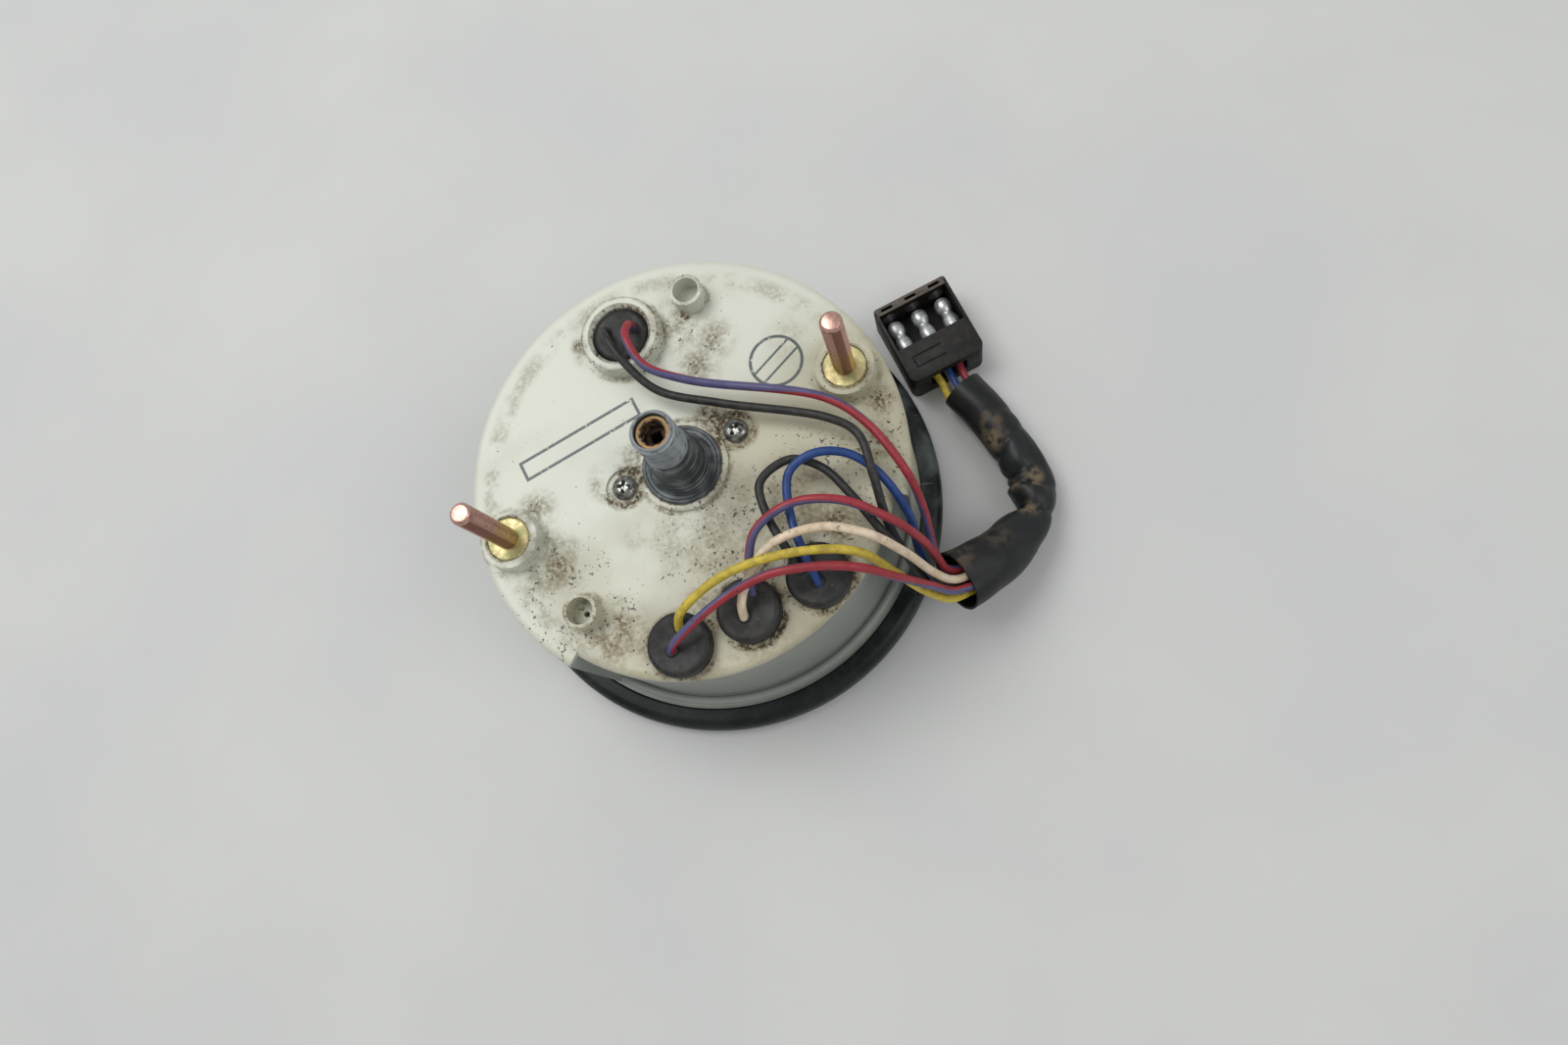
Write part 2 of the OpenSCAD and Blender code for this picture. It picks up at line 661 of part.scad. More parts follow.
// Aluminium speed cup with its hub and the hairspring's collet
module speed_cup() {
    color([0.78, 0.79, 0.80]) turned([
        [spindle_r + snug, spring_z - 0.2], [collet_r, spring_z - 0.2], [collet_r, spring_z + 0.8],
        [1.4, spring_z + 0.8], [1.4, cup_z], [cup_r, cup_z], [cup_r, cup_top_z],
        [cup_r - cup_wall, cup_top_z], [cup_r - cup_wall, cup_z + cup_floor],
        [spindle_r + snug, cup_z + cup_floor]]);
}

// Bridge behind the dial, with the spindle's front bearing
module bridge_plate() {
    color([0.72, 0.70, 0.62]) difference() {
        union() {
            post(10, bridge_z, bridge_z + bridge_t);
            post(spindle_r + 1.25, bridge_z - 0.8, bridge_z + 0.1);
            translate([-pillar_at, -3, bridge_z]) cube([2 * pillar_at, 6, bridge_t]);
            translate([-3, 0, bridge_z]) cube([6, pillar_at, bridge_t]);
            at_each([[pillar_at, 0], [-pillar_at, 0], [0, pillar_at]])
                post(pillar_r + 1, bridge_z, bridge_z + bridge_t);
        }
        post(spindle_r + running, bridge_z - 2, bridge_z + bridge_t + over);
        at_each([[pillar_at, 0], [-pillar_at, 0]])
            post(dial_screw_r + 0.1, bridge_z - over, bridge_z + bridge_t + over);
    }
}

// Soft iron ring round the cup, carried by the three pillars
module field_ring() {
    color([0.50, 0.50, 0.52]) difference() {
        union() {
            washer(field_r, field_in_r, cup_z + 0.5, field_top_z + 0.1);
            post(field_r, field_top_z, field_top_z + field_plate_t);
            translate([-pillar_at, -2.5, field_top_z]) cube([2 * pillar_at, 5, field_plate_t]);
            translate([-2.5, 0, field_top_z]) cube([5, pillar_at, field_plate_t]);
            at_each([[pillar_at, 0], [-pillar_at, 0], [0, pillar_at]])
                post(pillar_r + 1.5, field_top_z, field_top_z + field_plate_t);
        }
        post(stem_r + 0.5, field_top_z - over, field_top_z + field_plate_t + over);
        at_each([[pillar_at, 0], [-pillar_at, 0], [0, pillar_at]])
            post(pillar_r + snug, field_top_z - over, field_top_z + field_plate_t + over);
    }
}

// Ring magnet on the drive shaft, inside the cup
module magnet() {
    color([0.30, 0.30, 0.32]) washer(magnet_r, stem_r + snug, magnet_z, cup_top_z);
}

// Drive shaft: nose, stem, worm, thrust collar and the square-holed journal
module drive_shaft() {
    root = worm_r - 0.5;
    threads = 6;
    worm_z0 = cross_z - 3.6;
    worm_pitch = 7.2 / threads;
    color([0.66, 0.64, 0.58]) difference() {
        turned(concat(
            [[0, nose_z], [stem_r - 0.5, nose_z], [stem_r, magnet_z], [stem_r, worm_z0 - 1],
                [root, worm_z0 - 0.5]],
            [for (i = [0 : threads - 1]) each [
                [root, worm_z0 + worm_pitch * i + 0.25], [worm_r, worm_z0 + worm_pitch * i + 0.45],
                [worm_r, worm_z0 + worm_pitch * i + 0.75], [root, worm_z0 + worm_pitch * i + 0.95]]],
            [[root, worm_z0 + 7.4], [thrust_r, worm_z0 + 8], [thrust_r, bush_z - 0.2],
                [shaft_r, bush_z - 0.2], [shaft_r, shaft_top_z - 0.3], [shaft_r - 0.3, shaft_top_z],
                [0, shaft_top_z]]));
        post(spindle_r + running, nose_z - over, spindle_top_z + 0.2);
        translate([-square_w / 2, -square_w / 2, shaft_top_z - square_depth])
            cube([square_w, square_w, square_depth + over]);
    }
}

// Bronze bush that the drive shaft turns in
module socket_bush() {
    color([0.62, 0.48, 0.26]) turned([[bush_in_r, bush_z], [bush_r, bush_z], [bush_r, bush_top_z],
        [bush_in_r + 0.4, bush_top_z], [bush_in_r, bush_top_z - 0.4]]);
}

// Die-cast socket that the drive cable screws onto
module cable_socket() {
    color([0.63, 0.64, 0.66]) turned([
        [socket_bore_r, plate_z], [socket_flange_r, plate_z], [socket_flange_r, socket_flange_z - 0.3],
        [socket_flange_r - 0.3, socket_flange_z], [skirt_r + 0.3, socket_flange_z],
        [skirt_r, socket_flange_z + 0.4], [socket_collar_r, collar_z], [socket_collar_r, collar_top_z - 0.4],
        [socket_collar_r - 0.4, collar_top_z], [groove_r, collar_top_z], [groove_r, thread_z],
        [thread_r, thread_z], [thread_r, thread_z + thread_len], [thread_r - 0.65, thread_z + thread_len + 0.4],
        [thread_r - 0.65, socket_tip_z - 0.2], [thread_r - 0.85, socket_tip_z], [socket_bore_r, socket_tip_z]]);
}

// Die-cast movement frame: base, tongue, pillars and the cross shaft's two ears
module movement_frame() {
    color([0.60, 0.61, 0.63]) difference() {
        union() {
            post(frame_r, frame_z, plate_z);
            translate([tongue_x0, tongue_y, frame_z]) cube([tongue_x1 - tongue_x0, -tongue_y, tongue_t]);
            at_each([[pillar_at, 0], [-pillar_at, 0], [0, pillar_at]])
                post(pillar_r, bridge_z + bridge_t, frame_z + 1);
            for (y = [near_ear_y, far_ear_y])
                translate([-cross_at - ear_w / 2, y - ear_t / 2, cross_z - 2.1])
                    cube([ear_w, ear_t, frame_z - cross_z + 3]);
        }
        post(socket_bore_r, frame_z - over, plate_z + over);
        translate([-cross_at, far_ear_y - 3, cross_z]) along_y()
            cylinder(r = cross_shaft_r + running, h = near_ear_y - far_ear_y + 6);
        at_each(screw_points) post(screw_r + snug, frame_z + 1, plate_z + over);
        at_each([[pillar_at, 0], [-pillar_at, 0]])
            post(dial_screw_r + snug, bridge_z, bridge_z + bridge_t + dial_screw_grip + 0.5);
    }
}

// Cross shaft with the wheel that the first worm turns and the second worm
module cross_shaft() {
    root = worm2_r - 0.5;
    threads = 5;
    half = 3.5;
    step = 2 * half / threads;
    color([0.70, 0.62, 0.42]) translate([-cross_at, 0, cross_z]) {
        rotate([90, 0, 0]) translate([0, 0, -wheel_w / 2])
            linear_extrude(wheel_w) polygon(gear_outline(wheel_teeth, wheel_r - 0.7, wheel_r));
        translate([0, far_ear_y - ear_t / 2, 0]) along_y() turned(concat(
            [[0, 0], [cross_shaft_r, 0], [cross_shaft_r, drum_y - half - 0.5 - far_ear_y + ear_t / 2]],
            [for (i = [0 : threads - 1]) let (y = drum_y - half + step * i - far_ear_y + ear_t / 2) each [
                [root, y + 0.1], [worm2_r, y + 0.4], [worm2_r, y + 0.8], [root, y + 1.1]]],
            [[cross_shaft_r, drum_y + half + 0.5 - far_ear_y + ear_t / 2],
                [cross_shaft_r, near_ear_y - far_ear_y + ear_t], [0, near_ear_y - far_ear_y + ear_t]]));
    }
}

// Fixed shaft that the odometer drums turn on
module odometer_shaft() {
    color([0.72, 0.73, 0.75]) translate([odo_shaft_x0, drum_y, drum_z]) along_x()
        cylinder(r = odo_shaft_r, h = odo_shaft_x1 - odo_shaft_x0);
}

// Gear on the first drum, turned by the second worm
module drum_gear() {
    color([0.85, 0.84, 0.80]) translate([gear_x - gear_w / 2, drum_y, drum_z]) along_x() difference() {
        linear_extrude(gear_w) polygon(gear_outline(gear_teeth, gear_r - 0.6, gear_r));
        post(odo_shaft_r + running, -over, gear_w + over);
    }
}

// One odometer drum, with its rim, web and hub
module drum(index) {
    tone = index == 1 ? [0.88, 0.87, 0.83] : [0.09, 0.09, 0.09];
    color(tone) translate([drum_x0 + (index - 1) * drum_pitch, drum_y, drum_z]) along_x() turned([
        [odo_shaft_r + running, 0], [drum_r, 0], [drum_r, drum_w], [drum_r - 1, drum_w],
        [drum_r - 1, 1.2], [odo_shaft_r + 1.5, 1.2], [odo_shaft_r + 1.5, drum_w],
        [odo_shaft_r + running, drum_w]]);
}

module drum_1() { drum(1); }
module drum_2() { drum(2); }
module drum_3() { drum(3); }
module drum_4() { drum(4); }
module drum_5() { drum(5); }
module drum_6() { drum(6); }

// Fixed shaft that the carry pinions turn on
module carry_shaft() {
    color([0.72, 0.73, 0.75]) translate([bracket_x0, carry_y, carry_z]) along_x()
        cylinder(r = carry_shaft_r, h = odo_shaft_x1 - bracket_x0);
}

// One carry pinion, over the gap between two drums
module carry_pinion(index) {
    teeth = 6;
    color([0.86, 0.85, 0.80]) translate([drum_x0 + index * drum_pitch - pinion_w / 2 - 0.05, carry_y, carry_z])
        along_x() difference() {
            linear_extrude(pinion_w) polygon(gear_outline(teeth, pinion_r - 0.8, pinion_r));
            post(carry_shaft_r + running, -over, pinion_w + over);
        }
}

module carry_pinion_1() { carry_pinion(1); }
module carry_pinion_2() { carry_pinion(2); }
module carry_pinion_3() { carry_pinion(3); }
module carry_pinion_4() { carry_pinion(4); }
module carry_pinion_5() { carry_pinion(5); }

// Bent bracket under the frame's tongue that carries both odometer shafts
module odometer_bracket() {
    low_z = drum_z - bracket_foot;
    top_y = carry_y + carry_shaft_r + 0.5;
    color([0.70, 0.71, 0.73]) difference() {
        union() {
            translate([bracket_x0, top_y, frame_z - bracket_t])
                cube([bracket_x1 + bracket_t - bracket_x0, bracket_y1 - top_y, bracket_t]);
            for (x = [bracket_x0, bracket_x1])
                translate([x, bracket_y0, low_z]) cube([bracket_t, bracket_y1 - bracket_y0, frame_z - low_z]);
        }
        translate([bracket_x0 - over, drum_y, drum_z]) along_x()
            cylinder(r = odo_shaft_r + snug, h = bracket_x1 - bracket_x0 + 4);
        translate([bracket_x0 - over, carry_y, carry_z]) along_x()
            cylinder(r = carry_shaft_r + snug, h = bracket_x1 - bracket_x0 + 4);
    }
}

// Space that the odometer and its bracket take up, with a clearance and a further gap
module odometer_room(gap) {
    translate([-case_r, bracket_y0 - clear - gap, drum_z - drum_r - clear - gap])
        cube([2 * case_r, case_r, back_z]);
}

// Three joined tunnels from the lower lamps to the indicator lenses, flattened where the bracket is near
module light_tunnels() {
    color([0.90, 0.89, 0.85]) difference() {
        union() {
            at_each(lamp_points) post(tunnel_r, dial_back_z, tunnel_top_z);
            translate([-lamp_pitch, -lamp_drop - web_t / 2, dial_back_z]) cube([2 * lamp_pitch, web_t, web_h]);
        }
        odometer_room(0);
        difference() {
            at_each(lamp_points) post(tunnel_in_r, dial_back_z - over, tunnel_top_z + over);
            odometer_room(tunnel_wall);
        }
    }
}

// Two screws that hold the dial to the pillars
module dial_screws() {
    head_r = dial_screw_r + 1;
    color([0.80, 0.80, 0.81]) at_each([[pillar_at, 0], [-pillar_at, 0]]) difference() {
        turned([[0, dial_z - 0.9], [head_r - 0.3, dial_z - 0.9], [head_r, dial_z - 0.5], [head_r, dial_z],
            [dial_screw_r, dial_z], [dial_screw_r, bridge_z + bridge_t + dial_screw_grip],
            [0, bridge_z + bridge_t + dial_screw_grip]]);
        translate([-head_r, -0.25, dial_z - 1.4]) cube([2 * head_r, 0.5, 0.9]);
    }
}

// Two cross-slotted screws that hold the movement frame to the case
module movement_screws() {
    seat_z = back_z - screw_recess_t;
    top_z = seat_z + screw_head_h;
    color([0.66, 0.62, 0.52]) at_each(screw_points) difference() {
        turned(concat(
            [[0, frame_z + 1.5], [screw_r, frame_z + 1.5], [screw_r, seat_z], [screw_head_r, seat_z]],
            arc([screw_head_r - 0.9, top_z - 0.9], 0.9, 0, 90, 5),
            [[0, top_z]]));
        for (a = [30, 120]) rotate([0, 0, a]) translate([-2, -0.45, top_z - 1.3]) cube([4, 0.9, 2]);
    }
}

// Two mounting studs moulded into the case's bosses
module mount_studs() {
    flange_z0 = boss_top_z - stud_flange_t + 0.1;
    color([0.62, 0.48, 0.40]) at_each(stud_points) turned([
        [0, stud_root_z], [stud_shank_r, stud_root_z], [stud_shank_r, flange_z0], [stud_flange_r, flange_z0],
        [stud_flange_r, boss_top_z + 0.1], [stud_r, boss_top_z + 0.1], [stud_r, stud_top_z - 0.8],
        [stud_r - 0.8, stud_top_z], [0, stud_top_z]]);
}

// Rubber lamp holder seated on the back plate, hollow for the bulb's base
module lamp_socket(p, r, h) {
    top = back_z + h;
    soft = 1.2;
    color([0.11, 0.11, 0.12]) translate([p[0], p[1], 0]) turned(concat(
        [[bulb_base_r + snug, plate_z - rubber_lip_t], [rubber_lip_r, plate_z - rubber_lip_t],
            [rubber_lip_r, plate_z - 0.05], [shank_r, plate_z - 0.05], [shank_r, back_z], [r, back_z]],
        arc([r - soft, top - soft], soft, 0, 90, 5),
        [[0, top], [0, back_z + 1], [bulb_base_r + snug, back_z + 1]]));
}

module lamp_socket_top() { lamp_socket(top_lamp, top_lamp_r, top_lamp_h); }
module lamp_socket_right() { lamp_socket(lamp_points[0], lamp_r, lamp_h); }
module lamp_socket_middle() { lamp_socket(lamp_points[1], lamp_r, lamp_h); }
module lamp_socket_left() { lamp_socket(lamp_points[2], lamp_r, lamp_h); }

// Wedge bulbs in their rubbers
module lamp_bulbs() {
    color([0.90, 0.90, 0.86, 0.5]) at_each(concat([top_lamp], lamp_points)) turned(concat(
        arc([0, plate_z - bulb_len], bulb_r, -90, 0, 6),
        [[bulb_r, plate_z - 3], [bulb_base_r, plate_z - 2], [bulb_base_r, back_z + 0.9],
            [0, back_z + 0.9]]));
}

module wire_top_black() { color([0.10, 0.10, 0.10]) swept(route_top_black, wire_d, 8); }
module wire_top_red() { color([0.60, 0.12, 0.16]) swept(route_top_red, wire_d, 8); }
module wire_right_blue() { color([0.10, 0.22, 0.50]) swept(route_right_blue, wire_d, 8); }
module wire_right_black() { color([0.10, 0.10, 0.10]) swept(route_right_black, wire_d, 8); }
module wire_middle_red() { color([0.60, 0.12, 0.16]) swept(route_middle_red, wire_d, 8); }
module wire_middle_white() { color([0.82, 0.77, 0.65]) swept(route_middle_white, wire_d, 8); }
module wire_left_yellow() { color([0.80, 0.68, 0.20]) swept(route_left_yellow, wire_d, 8); }
module wire_left_red() { color([0.60, 0.12, 0.16]) swept(route_left_red, wire_d, 8); }

// Black sleeve that gathers the wires
module harness_sleeve() {
    color([0.10, 0.11, 0.13]) swept(route_sleeve, sleeve_d, 12);
}

// Connector housing with its open pocket, end holes and rear wire slot
module connector_housing() {
    x0 = conn_x - conn_w / 2;
    y1 = conn_y + conn_len;
    e = conn_edge;
    color([0.13, 0.12, 0.11]) difference() {
        linear_extrude(conn_h) polygon(concat(
            [for (q = arc([x0 + e, conn_y + e], e, 180, 270, 4)) q],
            [for (q = arc([x0 + conn_w - e, conn_y + e], e, 270, 360, 4)) q],
            [for (q = arc([x0 + conn_w - e, y1 - e], e, 0, 90, 4)) q],
            [for (q = arc([x0 + e, y1 - e], e, 90, 180, 4)) q]));
        translate([x0 + side_wall, pocket_y, pocket_z])
            cube([conn_w - 2 * side_wall, pocket_len, conn_h]);
        for (x = term_x) {
            translate([x, pocket_y - 4, term_z]) along_y() cylinder(r = 1.55, h = 5);
            translate([x, y1 - end_wall - over, term_z]) along_y()
                cylinder(r = term_r + 0.15, h = end_wall + 2 * over);
        }
        translate([0, 0, 4.5]) linear_extrude(6.5) polygon([
            [wire_x[0] - 2.2, conn_y - over], [wire_x[2] + 2.2, conn_y - over],
            [term_x[2] + 2, pocket_y - 3], [term_x[0] - 2, pocket_y - 3]]);
    }
}

// Three bullet terminals in the connector's pocket
module connector_terminals() {
    color([0.76, 0.76, 0.78]) for (x = term_x)
        translate([x, pocket_y - 3, term_z]) along_y() turned([
            [0, 0], [1.5, 0], [1.5, 3], [2.1, 3.4], [2.1, 6.2], [1.4, 6.8], [1.4, 7.4],
            [term_r, 8.2], [term_r, 11.4], [term_r - 0.7, 12.4], [0, 12.4]]);
}

// Three short wires from the sleeve's end to the terminals
module connector_wires() {
    tones = [[0.80, 0.68, 0.20], [0.20, 0.30, 0.60], [0.60, 0.12, 0.16]];
    for (i = [0 : 2]) color(tones[i]) swept([
        [wire_x[i], -4.5, wire_in_z], [wire_x[i], conn_y + 1.5, wire_in_z],
        [term_x[i], pocket_y - 3, term_z]], wire_d, 8);
}

case();
bezel();
lens_gasket();
lens();
mask_ring();
dial_plate();
indicator_lenses();
zero_stop();
pointer();
pointer_cap();
pointer_spindle();
hairspring();
speed_cup();
bridge_plate();
field_ring();
magnet();
drive_shaft();
socket_bush();
cable_socket();
movement_frame();
cross_shaft();
odometer_shaft();
drum_gear();
drum_1();
drum_2();
drum_3();
drum_4();
drum_5();
drum_6();
carry_shaft();
carry_pinion_1();
carry_pinion_2();
carry_pinion_3();
carry_pinion_4();
carry_pinion_5();
odometer_bracket();
light_tunnels();
dial_screws();
movement_screws();
mount_studs();
lamp_socket_top();
lamp_socket_left();
lamp_socket_middle();
lamp_socket_right();
lamp_bulbs();
wire_top_black();
wire_top_red();
wire_right_blue();
wire_right_black();
wire_middle_red();
wire_middle_white();
wire_left_yellow();
wire_left_red();
harness_sleeve();
connector_housing();
connector_terminals();
connector_wires();
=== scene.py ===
import math

import bmesh
import bpy
from mathutils import Matrix, Vector, noise


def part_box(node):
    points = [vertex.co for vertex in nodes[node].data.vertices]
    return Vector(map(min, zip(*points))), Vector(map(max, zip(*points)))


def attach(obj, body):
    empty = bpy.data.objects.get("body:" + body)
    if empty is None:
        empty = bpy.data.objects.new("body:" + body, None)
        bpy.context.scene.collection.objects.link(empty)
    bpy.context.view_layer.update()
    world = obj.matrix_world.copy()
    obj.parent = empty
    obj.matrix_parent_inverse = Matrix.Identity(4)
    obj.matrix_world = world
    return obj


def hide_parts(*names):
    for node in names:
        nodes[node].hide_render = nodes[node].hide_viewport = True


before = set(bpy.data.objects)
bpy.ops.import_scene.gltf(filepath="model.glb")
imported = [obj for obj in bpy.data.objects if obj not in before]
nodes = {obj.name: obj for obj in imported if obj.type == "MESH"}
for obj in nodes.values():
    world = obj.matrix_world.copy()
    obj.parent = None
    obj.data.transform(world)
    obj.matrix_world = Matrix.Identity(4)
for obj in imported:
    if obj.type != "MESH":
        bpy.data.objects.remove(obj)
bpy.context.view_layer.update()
mm = 0.001
print("frame loaded")


def linked(name, data):
    made = bpy.data.objects.new(name, data)
    bpy.context.scene.collection.objects.link(made)
    return made


# camera at the photograph's place
cameraView = {
    "place": (0.03201, -0.10837, 0.31837),
    "aim": (0.01704, -0.02140, 0.03165),
    "top": (0.45285, 0.85950, 0.23706),
    "lens": 24.0,
    "sensor": 36.0,
    "nearest": 0.01,
}


def makeCamera(v):
    back = (Vector(v["place"]) - Vector(v["aim"])).normalized()
    right = Vector(v["top"]).cross(back).normalized()
    turn = Matrix((right, back.cross(right), back)).transposed().to_4x4()
    data = bpy.data.cameras.new("camera")
    data.lens = v["lens"]
    data.sensor_width = v["sensor"]
    data.clip_start = v["nearest"]
    camera = linked("camera", data)
    camera.matrix_world = Matrix.Translation(v["place"]) @ turn
    bpy.context.scene.camera = camera


makeCamera(cameraView)


# colour from the usual 0 to 255 values
def srgb(red, green, blue):
    def linear(c):
        c = c / 255
        return c / 12.92 if c <= 0.04045 else ((c + 0.055) / 1.055) ** 2.4
    return (linear(red), linear(green), linear(blue), 1.0)


materials = {}


# a finish in the making: a value may be a number, a colour, another node's output, or a name in the
# finish's dictionary; there a noise is a scale and a detail, and a cloud is a scale, a detail, the noise
# values that it rises between, and its strength
class Finish:
    # the shader's sockets, by what the dictionaries call them
    sockets = {"metal": "Metallic", "ior": "IOR", "coat": "Coat Weight", "clear": "Transmission Weight",
               "specular": "Specular IOR Level"}

    def __init__(self, name, look):
        self.look = look
        materials[name] = bpy.data.materials.new(name)
        materials[name].use_nodes = True
        self.tree = materials[name].node_tree
        self.shader = self.tree.nodes["Principled BSDF"]
        self.place = self.add("TexCoord").outputs["Object"]

    def named(self, value):
        return self.look[value] if isinstance(value, str) else value

    def put(self, node, inputs):
        for name, value in inputs.items():
            socket = node.inputs[name]
            value = self.named(value)
            if isinstance(value, bpy.types.NodeSocket):
                self.tree.links.new(value, socket)
            else:
                socket.default_value = srgb(*value) if socket.type == "RGBA" else value

    def add(self, kind, inputs=None, **settings):
        node = self.tree.nodes.new("ShaderNode" + kind)
        for name, value in settings.items():
            setattr(node, name, value)
        self.put(node, inputs or {})
        return node

    def mix(self, factor, first, second):
        return self.add("Mix", {0: factor, 6: first, 7: second}, data_type="RGBA").outputs[2]

    # each further value worked in after the other
    def calc(self, operation, value, *others):
        for other in others:
            value = self.add("Math", {0: value, 1: other}, operation=operation).outputs[0]
        return value

    def times(self, *values):
        return self.calc("MULTIPLY", *values)

    def absolute(self, value):
        return self.calc("ABSOLUTE", value, 0.0)

    # how far a value is from another one, either way
    def away(self, value, middle):
        return self.absolute(self.calc("SUBTRACT", value, middle))

    # smooth change of a value between two levels, to 0 and 1 or two others
    def rise(self, value, *levels):
        given = []
        for level in levels:
            level = self.named(level)
            given += level if isinstance(level, tuple) else [level]
        ends = zip(("From Min", "From Max", "To Min", "To Max"), given)
        inputs = {"Value": value, **dict(ends)}
        return self.add("MapRange", inputs, interpolation_type="SMOOTHSTEP").outputs["Result"]

    def noise(self, size, place=None):
        scale, detail = self.named(size)
        inputs = {"Vector": place or self.place, "Scale": scale, "Detail": detail}
        return self.add("TexNoise", inputs).outputs[0]

    def cloud(self, size):
        scale, detail, low, high, *strength = self.named(size)
        return self.times(self.rise(self.noise((scale, detail)), low, high), *strength)

    # a value made uneven by a noise
    def shaken(self, value, noisy, size):
        return self.calc("ADD", value, self.times(self.calc("SUBTRACT", noisy, 0.5), size))

    def vector(self, operation, first, second=(0, 0, 0)):
        node = self.add("VectorMath", {0: first, 1: second}, operation=operation)
        return node.outputs["Value" if operation in ("DISTANCE", "DOT_PRODUCT", "LENGTH") else "Vector"]

    def axes(self, vector):
        return self.add("SeparateXYZ", {0: vector}).outputs

    def facingUp(self):
        return self.axes(self.add("NewGeometry").outputs["Normal"])[2]

    def flat(self, place):
        return self.vector("MULTIPLY", place, (1, 1, 0))

    # dirt and painted shade in a thread's roots, between two radii round its axis and two heights
    def roots(self, place):
        far = self.vector("DISTANCE", self.flat(place), (*self.look["axis"], 0))
        height = self.axes(place)[2]
        low, high = self.look["thread"]
        inside = self.times(self.calc("GREATER_THAN", height, low), self.calc("LESS_THAN", height, high))
        return self.times(self.rise(far, "roots", "rootDirt", 0.0), inside)

    def done(self, colour, rough, height=None):
        given = {socket: self.look[key] for key, socket in self.sockets.items() if key in self.look}
        self.put(self.shader, {"Base Color": colour, "Roughness": rough, **given})
        if height:
            inputs = {"Height": height, "Distance": self.look["depth"], "Strength": self.look["bump"]}
            self.put(self.shader, {"Normal": self.add("Bump", inputs).outputs[0]})


